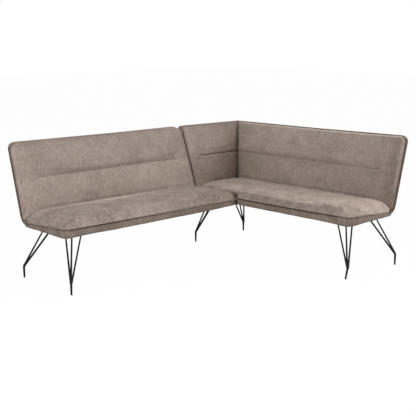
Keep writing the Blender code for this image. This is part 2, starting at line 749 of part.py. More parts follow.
def leg_mesh(foot):
    """One welded leg: foot at the origin, plate at the foot's reach."""
    top = PLATE_TOP + PLATE_TRIM
    run_way = math.copysign(1.0, foot.run_reach)
    depth_way = math.copysign(1.0, foot.depth_reach)
    steps = (
        (ROD_NEAR_STEP, ROD_NEAR_STEP), (ROD_NEAR_STEP, ROD_FAR_STEP), (ROD_FAR_STEP, ROD_NEAR_STEP),
    )
    ends = []
    for run_step, depth_step in steps:
        run = foot.run_reach + run_way * run_step
        ends.append(Vector((run, foot.depth_reach + depth_way * depth_step, top)))
    sole = Vector((0.0, 0.0, GLIDE_THICKNESS + CLEARANCE))
    ankle = Vector((0.0, 0.0, FOOT_UPRIGHT))
    knot = Vector((0.0, foot.kick, KNOT_HEIGHT))
    lean = (ends[0] - knot).normalized()
    below = knot - (knot - ankle).normalized() * ROD_BEND
    shapes = [rod_mesh([sole, ankle, below, knot + lean * ROD_BEND], FOOT_ROD_DIAMETER)]
    for end in ends:
        side = (end - knot) - lean * (end - knot).dot(lean)
        spread = side.normalized() * ROD_END_SPREAD
        shapes.append(rod_mesh([knot - lean * ROD_END_SPREAD + spread, end], ROD_DIAMETER))
    bm = bmesh.new()
    plate_middle = top - (PLATE_THICKNESS + PLATE_TRIM) / 2
    middle = Matrix.Translation((foot.run_reach, foot.depth_reach, plate_middle))
    size = Matrix.Diagonal((PLATE_SIZE, PLATE_SIZE, PLATE_THICKNESS + PLATE_TRIM, 1.0))
    bmesh.ops.create_cube(bm, size=1.0, matrix=middle @ size)
    shapes.append(finish_mesh(bm, "plate"))
    tools = []
    for i, shape in enumerate(shapes):
        tool = bpy.data.objects.new("leg_member_%d" % i, shape)
        cutters.objects.link(tool)
        tools.append(tool)
    for tool in tools[1:]:
        cut(tools[0], tool, "UNION")
    holes = hole_cutter("leg_holes", leg_bolt_spots(foot))
    cut(tools[0], holes)
    bm = bmesh.new()
    above = Matrix.Translation((foot.run_reach, foot.depth_reach, PLATE_TOP + PLATE_SIZE))
    bmesh.ops.create_cube(bm, size=2 * PLATE_SIZE, matrix=above)
    flat_top = as_cutter(bpy.data.objects.new("leg_flat_top", finish_mesh(bm, "leg_flat_top")))
    cutters.objects.link(flat_top)
    cut(tools[0], flat_top)
    bpy.context.view_layer.update()
    evaluated = tools[0].evaluated_get(bpy.context.evaluated_depsgraph_get())
    mesh = bpy.data.meshes.new_from_object(evaluated)
    mesh.name = foot.name + "_leg"
    for tool in tools + [holes, flat_top]:
        bpy.data.objects.remove(tool)
    mesh.materials.clear()
    mesh.materials.append(black_steel)
    mesh.shade_smooth()
    mesh.set_sharp_from_angle(angle=math.radians(35))
    return mesh


def leg_bolt_spots(foot):
    """The four bolts of a leg plate, in the leg's own axes."""
    half = BOLT_SPACING / 2
    runs = (foot.run_reach - half, foot.run_reach + half)
    depths = (foot.depth_reach - half, foot.depth_reach + half)
    return [(run, depth) for run in runs for depth in depths]


def hole_cutter(name, spots):
    """Round cutters through a plate, at spots in the plate's own axes."""
    bm = bmesh.new()
    for run, depth in spots:
        bmesh.ops.create_cone(
            bm, cap_ends=True, segments=12, radius1=BOLT_HOLE_DIAMETER / 2,
            radius2=BOLT_HOLE_DIAMETER / 2, depth=PLATE_THICKNESS * 3,
            matrix=Matrix.Translation((run, depth, PLATE_TOP - PLATE_THICKNESS / 2)),
        )
    cutter = as_cutter(bpy.data.objects.new(name, finish_mesh(bm, name)))
    cutters.objects.link(cutter)
    return cutter


class Foot:
    """A leg's place, how far off its plate lies, and how far its foot kicks in."""

    def __init__(self, name, left_run, left_depth, run_reach, depth_reach, kick=0.0):
        self.name = name
        self.run = left_run
        self.depth = left_depth
        self.run_reach = run_reach
        self.depth_reach = depth_reach
        self.kick = kick

    def plate(self):
        """The plate's (run low, run high, depth low, depth high)."""
        run = self.run + self.run_reach
        depth = self.depth + self.depth_reach
        half = PLATE_SIZE / 2
        return run - half, run + half, depth - half, depth + half


def make_leg(foot):
    """Stand one leg and its glide."""
    leg = bpy.data.objects.new(foot.name + "_leg", leg_mesh(foot))
    leg.parent = corner_point
    leg.location = (-foot.run, -foot.depth, 0.0)
    leg.rotation_euler.z = LEFT_WALL.turn
    parts.objects.link(leg)
    bm = bmesh.new()
    bmesh.ops.create_cone(
        bm, cap_ends=True, segments=16, radius1=FOOT_ROD_DIAMETER / 2,
        radius2=FOOT_ROD_DIAMETER / 2, depth=GLIDE_THICKNESS,
        matrix=Matrix.Translation((0, 0, GLIDE_THICKNESS / 2)),
    )
    glide_mesh = finish_mesh(bm, foot.name + "_glide")
    glide_mesh.materials.append(black_plastic)
    glide = bpy.data.objects.new(foot.name + "_glide", glide_mesh)
    glide.parent = corner_point
    glide.location = leg.location
    parts.objects.link(glide)


def joining_spans():
    """The (run low, run high, depth low, depth high) of each joining plate."""
    low = CORNER_DEPTH - BAND_THICKNESS - CLEARANCE - RAIL_WIDTH + JOIN_PLATE_EDGE / 2
    high = LEFT_START + BAND_THICKNESS + RAIL_WIDTH - JOIN_PLATE_EDGE / 2
    half = JOIN_PLATE_WIDTH / 2
    depths = [LEFT_DEPTH * share for share in JOIN_PLATE_SHARES]
    return [(low, high, depth - half, depth + half) for depth in depths]


def joining_plates(border):
    """Flat plates under both frames, and the notches that let them pass."""
    for i, (low, high, near, far) in enumerate(joining_spans()):
        depth = (near + far) / 2
        name = "joining_plate_%d" % (i + 1)
        plate_low = (low, near, PLATE_TOP - PLATE_THICKNESS)
        plate = box(name, LEFT_WALL, plate_low, (high, far, PLATE_TOP), zinc)
        spots = []
        for end, way in ((low, 1), (high, -1)):
            first = end + way * JOIN_PLATE_EDGE / 2
            spots += [(first, depth), (first + way * JOIN_BOLT_SPACING, depth)]
        holes = hole_cutter(name + "_holes", spots)
        holes.parent = corner_point
        holes.rotation_euler.z = LEFT_WALL.turn
        cut(plate, holes)
        grow = 0.001
        notch_low = (CORNER_DEPTH - BAND_THICKNESS - 0.01, near - grow, SEAT_UNDERSIDE - 0.01)
        notch_high = (CORNER_DEPTH + 0.01, far + grow, PLATE_TOP + grow)
        notch = box(name + "_notch", LEFT_WALL, notch_low, notch_high, None, (), cutters)
        cut(border, as_cutter(notch))


for old in list(bpy.data.objects):
    bpy.data.objects.remove(old, do_unlink=True)

parts = new_collection("corner_bench")
cutters = new_collection("cutters")

taupe = new_material("taupe_chenille", (0.300, 0.255, 0.215), 0.9)
taupe_band = new_material("taupe_chenille_border", (0.230, 0.190, 0.160), 0.9)
plywood = new_material("plywood", (0.56, 0.42, 0.27), 0.65)
web = new_material("elastic_webbing", (0.04, 0.04, 0.045), 0.85)
black_cloth = new_material("bottom_cloth", (0.02, 0.02, 0.02), 0.95)
black_steel = new_material("black_powder_coat", (0.015, 0.015, 0.017), 0.45)
zinc = new_material("zinc_plated_steel", (0.55, 0.56, 0.58), 0.35, 1.0)
black_plastic = new_material("black_plastic", (0.02, 0.02, 0.02), 0.5)

corner_point = bpy.data.objects.new("room_corner", None)
corner_point.location = (
    (LEFT_END + REAR_REACH) / 2, (CORNER_LENGTH + REAR_REACH) / 2, 0.0,
)
parts.objects.link(corner_point)
bpy.context.view_layer.update()

left_back = BackSpan(
    "left", LEFT_WALL, left_joint_run, lambda depth, height: LEFT_END,
    BACK_JOINT_RADIUS, BACK_CORNER_RADIUS, CHANNEL_JOINT_STOP, CHANNEL_OUTER_STOP,
)
return_back = BackSpan(
    "return", LEFT_WALL, corner_run, lambda depth, height: CORNER_DEPTH + joint_lean(height),
    0.0, BACK_JOINT_RADIUS, 0.0, CHANNEL_JOINT_STOP,
)
right_back = BackSpan(
    "right", RIGHT_WALL, corner_run, lambda depth, height: CORNER_LENGTH,
    0.0, BACK_CORNER_RADIUS, 0.0, CHANNEL_OUTER_STOP,
)
for span in (left_back, return_back, right_back):
    back_shell(span, taupe)
    back_cushion(span, taupe)
back_board(left_back, LEFT_START + JOINT_LEAN + BACK_BOARD_MARGIN, LEFT_END - BACK_BOARD_MARGIN, plywood)
back_board(return_back, BACK_BOARD_CORNER_START, CORNER_DEPTH - BACK_BOARD_MARGIN, plywood)
back_board(right_back, BACK_BOARD_CORNER_START, CORNER_LENGTH - BACK_BOARD_MARGIN, plywood)

left_seat = Seat("left", LEFT_WALL, LEFT_START, LEFT_END, LEFT_DEPTH, LEFT_SEAM_FRONT, True)
corner_seat = Seat(
    "corner", RIGHT_WALL, RAIL_REAR_DEPTH, CORNER_LENGTH, CORNER_DEPTH, CORNER_SEAM_FRONT, False,
)
for seat in (left_seat, corner_seat):
    seat_cushion(seat, taupe)
left_border = seat_border(left_seat, taupe_band)
corner_border = seat_border(corner_seat, taupe_band)

left_foot_run = LEFT_END - LEFT_FOOT_END_INSET
corner_front_depth = CORNER_DEPTH - CORNER_FRONT_FOOT_INSET
left_front_depth = LEFT_DEPTH - LEFT_FRONT_FOOT_INSET
corner_front_end = CORNER_LENGTH - CORNER_FRONT_FOOT_END_INSET
corner_rear_end = CORNER_LENGTH - CORNER_REAR_FOOT_END_INSET
feet = [
    Foot("left_rear", left_foot_run, REAR_FOOT_DEPTH, -PLATE_OUTER_REACH, PLATE_REAR_REACH),
    Foot("left_front", left_foot_run, left_front_depth, -PLATE_OUTER_REACH, -PLATE_FRONT_REACH),
    Foot(
        "corner_inner_front", corner_front_depth, CORNER_INNER_FOOT_RUN,
        -PLATE_FRONT_REACH, PLATE_INNER_REACH,
    ),
    Foot(
        "corner_inner_rear", REAR_FOOT_DEPTH, CORNER_INNER_FOOT_RUN,
        PLATE_REAR_REACH, PLATE_INNER_REACH,
    ),
    Foot(
        "corner_outer_front", corner_front_depth, corner_front_end,
        -PLATE_FRONT_REACH, -PLATE_OUTER_REACH, KICKED_FOOT_STEP,
    ),
    Foot(
        "corner_outer_rear", REAR_FOOT_DEPTH, corner_rear_end,
        PLATE_REAR_REACH, -PLATE_OUTER_REACH,
    ),
]

left_bearer_middle = left_foot_run - PLATE_OUTER_REACH
left_joint_rail_end = left_seat.frame_start + RAIL_WIDTH
left_bearer_start = left_bearer_middle - BEARER_WIDTH / 2
seat_frame(left_seat, [
    ("joint_rail", left_seat.frame_start, left_joint_rail_end),
    ("leg_bearer", left_bearer_start, left_bearer_start + BEARER_WIDTH),
    ("end_rail", left_seat.frame_end - RAIL_WIDTH, left_seat.frame_end),
] + cross_rails(left_seat, left_joint_rail_end, left_bearer_start))

corner_bearer_middle = corner_front_end - PLATE_OUTER_REACH
corner_wall_rail_end = RAIL_REAR_DEPTH + WALL_RAIL_WIDTH
corner_bearer_start = corner_bearer_middle - BEARER_WIDTH / 2
seat_frame(corner_seat, [
    ("wall_rail", corner_seat.frame_start, corner_wall_rail_end),
    ("leg_bearer", corner_bearer_start, corner_bearer_start + BEARER_WIDTH),
    ("end_rail", corner_seat.frame_end - RAIL_WIDTH, corner_seat.frame_end),
] + cross_rails(corner_seat, corner_wall_rail_end, corner_bearer_start))

joining_plates(corner_border)

for foot in feet:
    make_leg(foot)

webbing(left_seat, left_joint_rail_end, left_bearer_start)
webbing(corner_seat, corner_wall_rail_end, corner_bearer_start)
bottom_cloth(left_seat, [foot.plate() for foot in feet[:2]] + joining_spans())
corner_plates = []
for run_low, run_high, depth_low, depth_high in [foot.plate() for foot in feet[2:]] + joining_spans():
    corner_plates.append((depth_low, depth_high, run_low, run_high))
bottom_cloth(corner_seat, corner_plates)

for i, share in enumerate((0.12, 0.5, 0.88)):
    run = LEFT_START + JOINT_LEAN + LEFT_LENGTH * share
    back_bracket("left_back_bracket_%d" % (i + 1), LEFT_WALL, run, zinc)
    run = BACK_BOARD_CORNER_START + (CORNER_LENGTH - BACK_BOARD_CORNER_START) * share
    back_bracket("right_back_bracket_%d" % (i + 1), RIGHT_WALL, run, zinc)
for i, share in enumerate((0.3, 0.75)):
    run = BACK_BOARD_CORNER_START + (CORNER_DEPTH - BACK_BOARD_CORNER_START) * share
    back_bracket("return_back_bracket_%d" % (i + 1), LEFT_WALL, run, zinc)
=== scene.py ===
"""Looks of an upholstered corner bench: chenille cushions, piping, plywood frame and steel rod legs."""
import math

import bpy
import numpy as np
from mathutils import Matrix, Vector, noise


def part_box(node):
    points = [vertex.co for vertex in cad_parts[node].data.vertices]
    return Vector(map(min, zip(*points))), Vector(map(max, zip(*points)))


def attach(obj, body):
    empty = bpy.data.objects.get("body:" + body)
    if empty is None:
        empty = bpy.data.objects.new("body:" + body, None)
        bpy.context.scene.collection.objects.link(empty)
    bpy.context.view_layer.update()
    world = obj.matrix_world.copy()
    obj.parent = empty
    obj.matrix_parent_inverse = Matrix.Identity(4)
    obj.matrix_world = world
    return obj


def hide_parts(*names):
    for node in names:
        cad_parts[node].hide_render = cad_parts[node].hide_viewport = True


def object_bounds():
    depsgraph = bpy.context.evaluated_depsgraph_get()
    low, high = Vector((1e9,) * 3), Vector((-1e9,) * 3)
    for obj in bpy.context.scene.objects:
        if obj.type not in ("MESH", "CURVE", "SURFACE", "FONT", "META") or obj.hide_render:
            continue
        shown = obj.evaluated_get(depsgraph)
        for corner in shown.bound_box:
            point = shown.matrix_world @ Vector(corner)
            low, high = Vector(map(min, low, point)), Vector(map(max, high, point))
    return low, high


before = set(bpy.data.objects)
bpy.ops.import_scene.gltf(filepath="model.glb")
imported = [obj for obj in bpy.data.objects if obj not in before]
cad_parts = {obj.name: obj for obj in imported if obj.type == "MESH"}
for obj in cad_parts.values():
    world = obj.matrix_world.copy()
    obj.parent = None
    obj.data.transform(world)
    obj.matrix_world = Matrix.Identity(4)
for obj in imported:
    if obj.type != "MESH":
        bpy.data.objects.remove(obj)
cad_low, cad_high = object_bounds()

# Sizes of the bench, in metres, as its solids have them
LEFT_END = 2.011
RIGHT_END = 1.504
CORNER_DEPTH = 0.560
LEFT_START = 0.563
LEFT_DEPTH = 0.536
HEIGHT = 0.880
RECLINE = math.radians(15.0)
BACK_THICKNESS = 0.0757
BACK_LINE = (0.114, 0.456)
CHANNEL_HEIGHT = 0.655
JOINT_LEAN = 0.034
SEAM_REAR = 0.388
SEAM_REAR_DEPTH = 0.097
LEFT_SEAM_FRONT = 0.398
CORNER_SEAM_FRONT = 0.406
SEAT_TOP = 0.470
SEAT_UNDERSIDE = 0.360
SEAT_CORNER_RADIUS = 0.046
SEAT_JOINT_RADIUS = 0.021
SHELL_THICKNESS = 0.020
SHELL_HALF = SHELL_THICKNESS / 2
BACK_CORNER_RADIUS = 0.045
BACK_JOINT_RADIUS = 0.030
PLATE_SIZE = 0.092
PLATE_THICKNESS = 0.004
BOLT_SPACING = 0.044
JOIN_BOLT_EDGE = 0.011
JOIN_BOLT_SPACING = 0.036

# Bolts, washers and staples, which only this script makes
BOLT_RADIUS = 0.0052
BOLT_HEAD = 0.0040
SHANK_RADIUS = 0.0029
WASHER_RADIUS = 0.0062
WASHER_THICKNESS = 0.0012
STAPLE_WIRE = 0.0008
STAPLE_WIDTH = 0.010
STAPLE_LEG = 0.005
STAPLE_PITCH = 0.045
STAPLE_INSET = 0.008
STAPLE_FROM_CORNER = 0.060

# How fine each cover's mesh is, how slack and how far its pad swells, and how thick its welt is
BACK_VOXEL = 0.0105
SEAT_VOXEL = 0.0088
SHELL_VOXEL = 0.0052
BAND_VOXEL = 0.0040
BACK_SLACK = 0.012
SEAT_SLACK = 0.014
SWELL_CAP = 0.007
SWELL_FRAMES = 20
BACK_WELT_RADIUS = 0.0030
SEAT_WELT_RADIUS = 0.0022
JOIN_WITHIN = 0.00005

# A back's cushion is sewn down below one layer, and its front lies above the other
SEWN_LAYER = 0.034
FRONT_LAYER = 0.040

# The stitched channels: where each starts and ends along its wall, and how deep its parts are.
# A start below nothing runs into the room's corner.
LEFT_CHANNEL = (0.655, 1.888)
RETURN_CHANNEL = (-1.0, 0.478)
RIGHT_CHANNEL = (-1.0, 1.382)
CHANNEL_FADE = 0.05
CHANNEL_DEPTH = 0.008
CHANNEL_FOLD = 0.003
CHANNEL_LIP = 0.0026
CHANNEL_PUCKER = 0.0016
CHANNEL_WANDER = 0.0018

# The welts stand out of the backs' ends a little, and pass these rises on their way up
WELT_OUT = 0.0005
WELT_RISES = (-0.042, 0.10, 0.28)
CORNER_WELT_START = 0.125

# The powder coat round the rods, above the feet, and the ease of the left joint to its seam
COAT = 0.0017
FOOT_TOP = 0.016
JOINT_SHIFT = 0.013

CORNER_X = cad_low[0] + LEFT_END
CORNER_Y = cad_low[1] + RIGHT_END
SIN = math.sin(RECLINE)
COS = math.cos(RECLINE)
BASE_DEPTH = BACK_LINE[0] - BACK_THICKNESS * COS
BASE_HEIGHT = BACK_LINE[1] - BACK_THICKNESS * SIN
SHELL_TOP = (HEIGHT - BASE_HEIGHT - SHELL_HALF * SIN - SHELL_HALF) / COS + SHELL_HALF
CHANNEL_RISE = (CHANNEL_HEIGHT - BASE_HEIGHT - BACK_THICKNESS * SIN) / COS

# Each seat's front: its depth, and its seam's height there. Each seat's ends along its wall.
LEFT_FRONT = (LEFT_DEPTH, LEFT_SEAM_FRONT)
CORNER_FRONT = (CORNER_DEPTH, CORNER_SEAM_FRONT)
LEFT_ENDS = (LEFT_START, LEFT_END)
CORNER_ENDS = (0.0, RIGHT_END)

# Fabric colours: dark, middle and light. Its nap: stretch, turn and spread of the mottling.
TAUPE = ((0.220, 0.175, 0.147), (0.297, 0.241, 0.207), (0.374, 0.309, 0.268))
# The band's taupe is the same fabric painted darker, as painted shade on the band's forward-facing side.
BAND_SHADED_TAUPE = ((0.134, 0.101, 0.082), (0.191, 0.150, 0.124), (0.254, 0.204, 0.172))
BACK_NAP = ((1.0, 1.0, 0.7), 0.0, 0.12)
SEAT_NAP = ((1.0, 0.40, 1.0), math.radians(35), 0.08)
BAND_NAP = ((1.0, 1.0, 0.7), 0.0, 0.09)

# Painted shade and, below nothing, painted light along each cushion: places along the wall, then the
# shades there on a back's lower and upper half, or on a seat's top and front
LEFT_BACK_PAINTED_SHADING = ((0.56, 0.80, 1.20, 2.0), (-0.20, -0.20, -0.06, 0.0), (-0.05, -0.05, 0.0, 0.06))
RETURN_BACK_PAINTED_SHADING = (
    (0.0, 0.12, 0.27, 0.40, 0.56),
    (0.60, 0.55, 0.48, 0.38, 0.25), (0.45, 0.30, 0.15, 0.03, 0.0),
)
RIGHT_BACK_PAINTED_SHADING = (
    (0.05, 0.20, 0.55, 1.00, 1.40, 1.50),
    (0.30, 0.14, -0.12, 0.0, 0.12, 0.50), (-0.15, -0.30, -0.52, -0.25, 0.0, 0.40),
)
LEFT_SEAT_PAINTED_SHADING = (
    (0.56, 0.75, 1.05, 1.20, 1.45, 1.80, 2.0),
    (0.18, 0.08, -0.17, -0.30, -0.18, 0.0, 0.05), (0.20, 0.20, 0.19, 0.08, -0.10, 0.12, 0.05),
)
CORNER_SEAT_PAINTED_SHADING = (
    (0.0, 0.50, 0.60, 0.80, 1.05, 1.30, 1.40, 1.50),
    (-0.46, -0.62, -0.72, -0.80, -0.88, -0.95, -0.92, -0.80),
    (-0.40, -0.30, 0.22, 0.18, 0.13, 0.06, -0.02, -0.10),
)

# How strongly each back's stitching is pressed, and how strong its channel and edge painted shade and
# highlight strips are
LEFT_LOOK = {
    "stitch": 0.5, "channel": 0.17, "near": 0.8, "far": 0.0, "side": 0.0,
    "top_strip": 0.4, "side_strip": 0.45,
}
RETURN_LOOK = {
    "stitch": 1.0, "channel": 0.40, "near": 0.75, "far": 0.8, "side": 0.0,
    "top_strip": 0.2, "side_strip": 0.0,
}
RIGHT_LOOK = {
    "stitch": 0.5, "channel": 0.20, "near": 0.7, "far": 0.0, "side": 0.8,
    "top_strip": 1.8, "side_strip": 0.5,
}

# The camera: where it stands from the room's corner, its heading, pitch, lens and shift
CAMERA_RUN = 4.63656
CAMERA_SIDE = 4.43509
CAMERA_HEIGHT = 1.49512
CAMERA_YAW = math.radians(45.82)
CAMERA_PITCH = math.radians(11.63)
CAMERA_LENS = 70.52
CAMERA_SHIFT = (0.0, 0.5 / 416)

# The studio: each softbox's name, place, side and power, then the floor and the world
LAMPS = (
    ("key_right", (2.6, -3.2, 2.6), 2.0, 114.3),
    ("fill_left", (-3.6, -1.2, 2.2), 2.6, 98.5),
    ("corner_top", (0.5, 0.2, 3.4), 1.2, 18.2),
    ("by_camera", (-4.0, -4.0, 2.6), 1.6, 82.2),
)
LAMP_AIM = ((cad_low[0] + cad_high[0]) / 2, (cad_low[1] + cad_high[1]) / 2, 0.5)
FLOOR_SIZE = 60.0
FLOOR_GLOW = 0.985
WORLD_LIGHT = 0.08


def add_camera():
    """Stand the camera where the photograph was taken from."""
    data = bpy.data.cameras.new("photo_camera")
    data.lens = CAMERA_LENS
    data.sensor_width = 36.0
    data.shift_x, data.shift_y = CAMERA_SHIFT
    camera = bpy.data.objects.new("photo_camera", data)
    camera.location = (CORNER_X - CAMERA_RUN, CORNER_Y - CAMERA_SIDE, CAMERA_HEIGHT)
    camera.rotation_euler = (math.pi / 2 - CAMERA_PITCH, 0.0, CAMERA_YAW - math.pi / 2)
    bpy.context.scene.collection.objects.link(camera)
    bpy.context.scene.camera = camera


def add_softbox(name, place, aim, size, power):
    """A square area lamp that faces a point."""
    data = bpy.data.lights.new(name, "AREA")
    data.shape = "SQUARE"
    data.size = size
    data.energy = power
    lamp = bpy.data.objects.new(name, data)
    lamp.location = place
    direction = Vector(aim) - Vector(place)
    lamp.rotation_euler = direction.to_track_quat("-Z", "Y").to_euler()
    bpy.context.scene.collection.objects.link(lamp)


def only(piece):
    """Select one object and make it active."""
    bpy.ops.object.select_all(action="DESELECT")
    piece.select_set(True)
    bpy.context.view_layer.objects.active = piece


def apply_all(piece):
    """Apply every modifier of a piece, in order."""
    only(piece)
    for modifier in list(piece.modifiers):
        bpy.ops.object.modifier_apply(modifier=modifier.name)


def points_of(piece):
    """The mesh's points as rows of x, y, z."""
    flat = np.empty(len(piece.data.vertices) * 3)
    piece.data.vertices.foreach_get("co", flat)
    return flat.reshape(-1, 3)


def move_points(piece, points):
    """Put the mesh's points back."""
    piece.data.vertices.foreach_set("co", points.reshape(-1))
    piece.data.update()


def normals_of(piece):
    """The mesh's point normals as rows of x, y, z."""
    flat = np.empty(len(piece.data.vertices) * 3)
    piece.data.vertex_normals.foreach_get("vector", flat)
    return flat.reshape(-1, 3)


def smooth_step(value):
    """A smooth step from 0 to 1 on an array."""
    value = np.clip(value, 0.0, 1.0)
    return value * value * (3 - 2 * value)


def bell(distance, width):
    """A bell curve: 1 at no distance, gone at about twice the width."""
    return np.exp(-((distance / width) ** 2))


def wall_axes(points, wall):
    """Run along the wall, depth out of it, and height."""
    if wall == "left":
        return CORNER_X - points[:, 0], CORNER_Y - points[:, 1], points[:, 2]
    return CORNER_Y - points[:, 1], CORNER_X - points[:, 0], points[:, 2]


def world_points(run, depth, height, wall):
    """The reverse of wall_axes."""
    if wall == "left":
        return np.stack([CORNER_X - run, CORNER_Y - depth, height], axis=1)
    return np.stack([CORNER_X - depth, CORNER_Y - run, height], axis=1)


def back_axes(depth, height):
    """Rise up the reclined back and layer out of it."""
    rise = (height - BASE_HEIGHT) * COS - (depth - BASE_DEPTH) * SIN
    layer = (depth - BASE_DEPTH) * COS + (height - BASE_HEIGHT) * SIN
    return rise, layer


def back_place(rise, layer):
    """The reverse of back_axes: depth and height."""
    depth = BASE_DEPTH - rise * SIN + layer * COS
    height = BASE_HEIGHT + rise * COS + layer * SIN
    return depth, height


def ripple(run, seed, pitch):
    """Smooth noise along a seam, one value a point."""
    return np.array([noise.noise(Vector((value / pitch, seed, 0.37 * seed))) for value in run])


def copy_of_node(name, node):
    """A copy of a node's solid, its loose triangles joined at their corners."""
    piece = bpy.data.objects.new(name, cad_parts[node].data.copy())
    bpy.context.scene.collection.objects.link(piece)
    only(piece)
    bpy.ops.object.mode_set(mode="EDIT")
    bpy.ops.mesh.select_all(action="SELECT")
    bpy.ops.mesh.remove_doubles(threshold=JOIN_WITHIN)
    bpy.ops.object.mode_set(mode="OBJECT")
    return piece


def even_copy(name, node, voxel):
    """A closed, evenly meshed copy of a soft node's solid."""
    piece = copy_of_node(name, node)
    remesh = piece.modifiers.new("even_mesh", "REMESH")
    remesh.mode = "VOXEL"
    remesh.voxel_size = voxel
    apply_all(piece)
    return piece


def relax(piece, factor, repeat):
    """Smooth a mesh a little."""
    smoother = piece.modifiers.new("relax", "SMOOTH")
    smoother.factor = factor
    smoother.iterations = repeat
    apply_all(piece)


def swell(piece, pinned, slack):
    """Blow a pad up as slack cloth between its sewn points, none moving past the cap."""
    start = points_of(piece)
    group = piece.vertex_groups.new(name="sewn")
    group.add([int(i) for i in np.nonzero(pinned)[0]], 1.0, "REPLACE")
    cloth = piece.modifiers.new("swell", "CLOTH")
    settings = cloth.settings
    settings.vertex_group_mass = "sewn"
    settings.use_pressure = True
    settings.uniform_pressure_force = 4.0
    settings.effector_weights.gravity = 0.0
    settings.shrink_min = -slack
    settings.quality = 4
    settings.tension_stiffness = 15
    settings.compression_stiffness = 15
    settings.bending_stiffness = 0.5
    cloth.collision_settings.use_collision = False
    cloth.point_cache.frame_start = 1
    cloth.point_cache.frame_end = SWELL_FRAMES
    scene = bpy.context.scene
    for number in range(1, SWELL_FRAMES + 1):
        scene.frame_set(number)
    apply_all(piece)
    piece.vertex_groups.clear()
    moved = points_of(piece) - start
    length = np.linalg.norm(moved, axis=1, keepdims=True)
    scale = np.minimum(1.0, SWELL_CAP / np.maximum(length, 1e-9))
    move_points(piece, start + moved * scale)
    scene.frame_set(1)


def undulate(piece, amount, pitch, seed):
    """Let a surface rise and fall gently, as stuffed fabric does."""
    points = points_of(piece)
    normals = normals_of(piece)
    waves = np.array([noise.noise(Vector(point) / pitch + Vector((seed, 0, 0))) for point in points])
    move_points(piece, points + normals * waves[:, None] * amount)


def refine(piece):
    """One even subdivision."""
    finer = piece.modifiers.new("finer", "SUBSURF")
    finer.levels = 1
    finer.render_levels = 1
    apply_all(piece)


def finish_piece(piece, material, slot, *nodes):
    """Give a piece its material, its ride and the nodes that it stands for."""
    piece.data.materials.clear()
    piece.data.materials.append(material)
    only(piece)
    bpy.ops.object.shade_smooth()
    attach(piece, "root")
    if nodes:
        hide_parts(*nodes)


def shade_attribute(piece, values):
    """Store each point's painted shade, up to 1, and painted highlight, down to -1."""
    layer = piece.data.attributes.new("painted_shade_and_light", "FLOAT", "POINT")
    values = np.where(values < 0, 0.5 * values, values)
    layer.data.foreach_set("value", np.clip(values, -1.0, 1.0).astype(np.float32))


def new_material(name):
    """An empty material with a Principled shader."""
    material = bpy.data.materials.new(name)
    material.use_nodes = True
    tree = material.node_tree
    return material, tree, tree.nodes["Principled BSDF"]


def add_node(tree, kind, **values):
    """Add a shader node and set its plain properties and sockets."""
    node = tree.nodes.new(kind)
    for key, value in values.items():
        if hasattr(node, key):
            setattr(node, key, value)
        else:
            node.inputs[key.replace("_", " ")].default_value = value
    return node


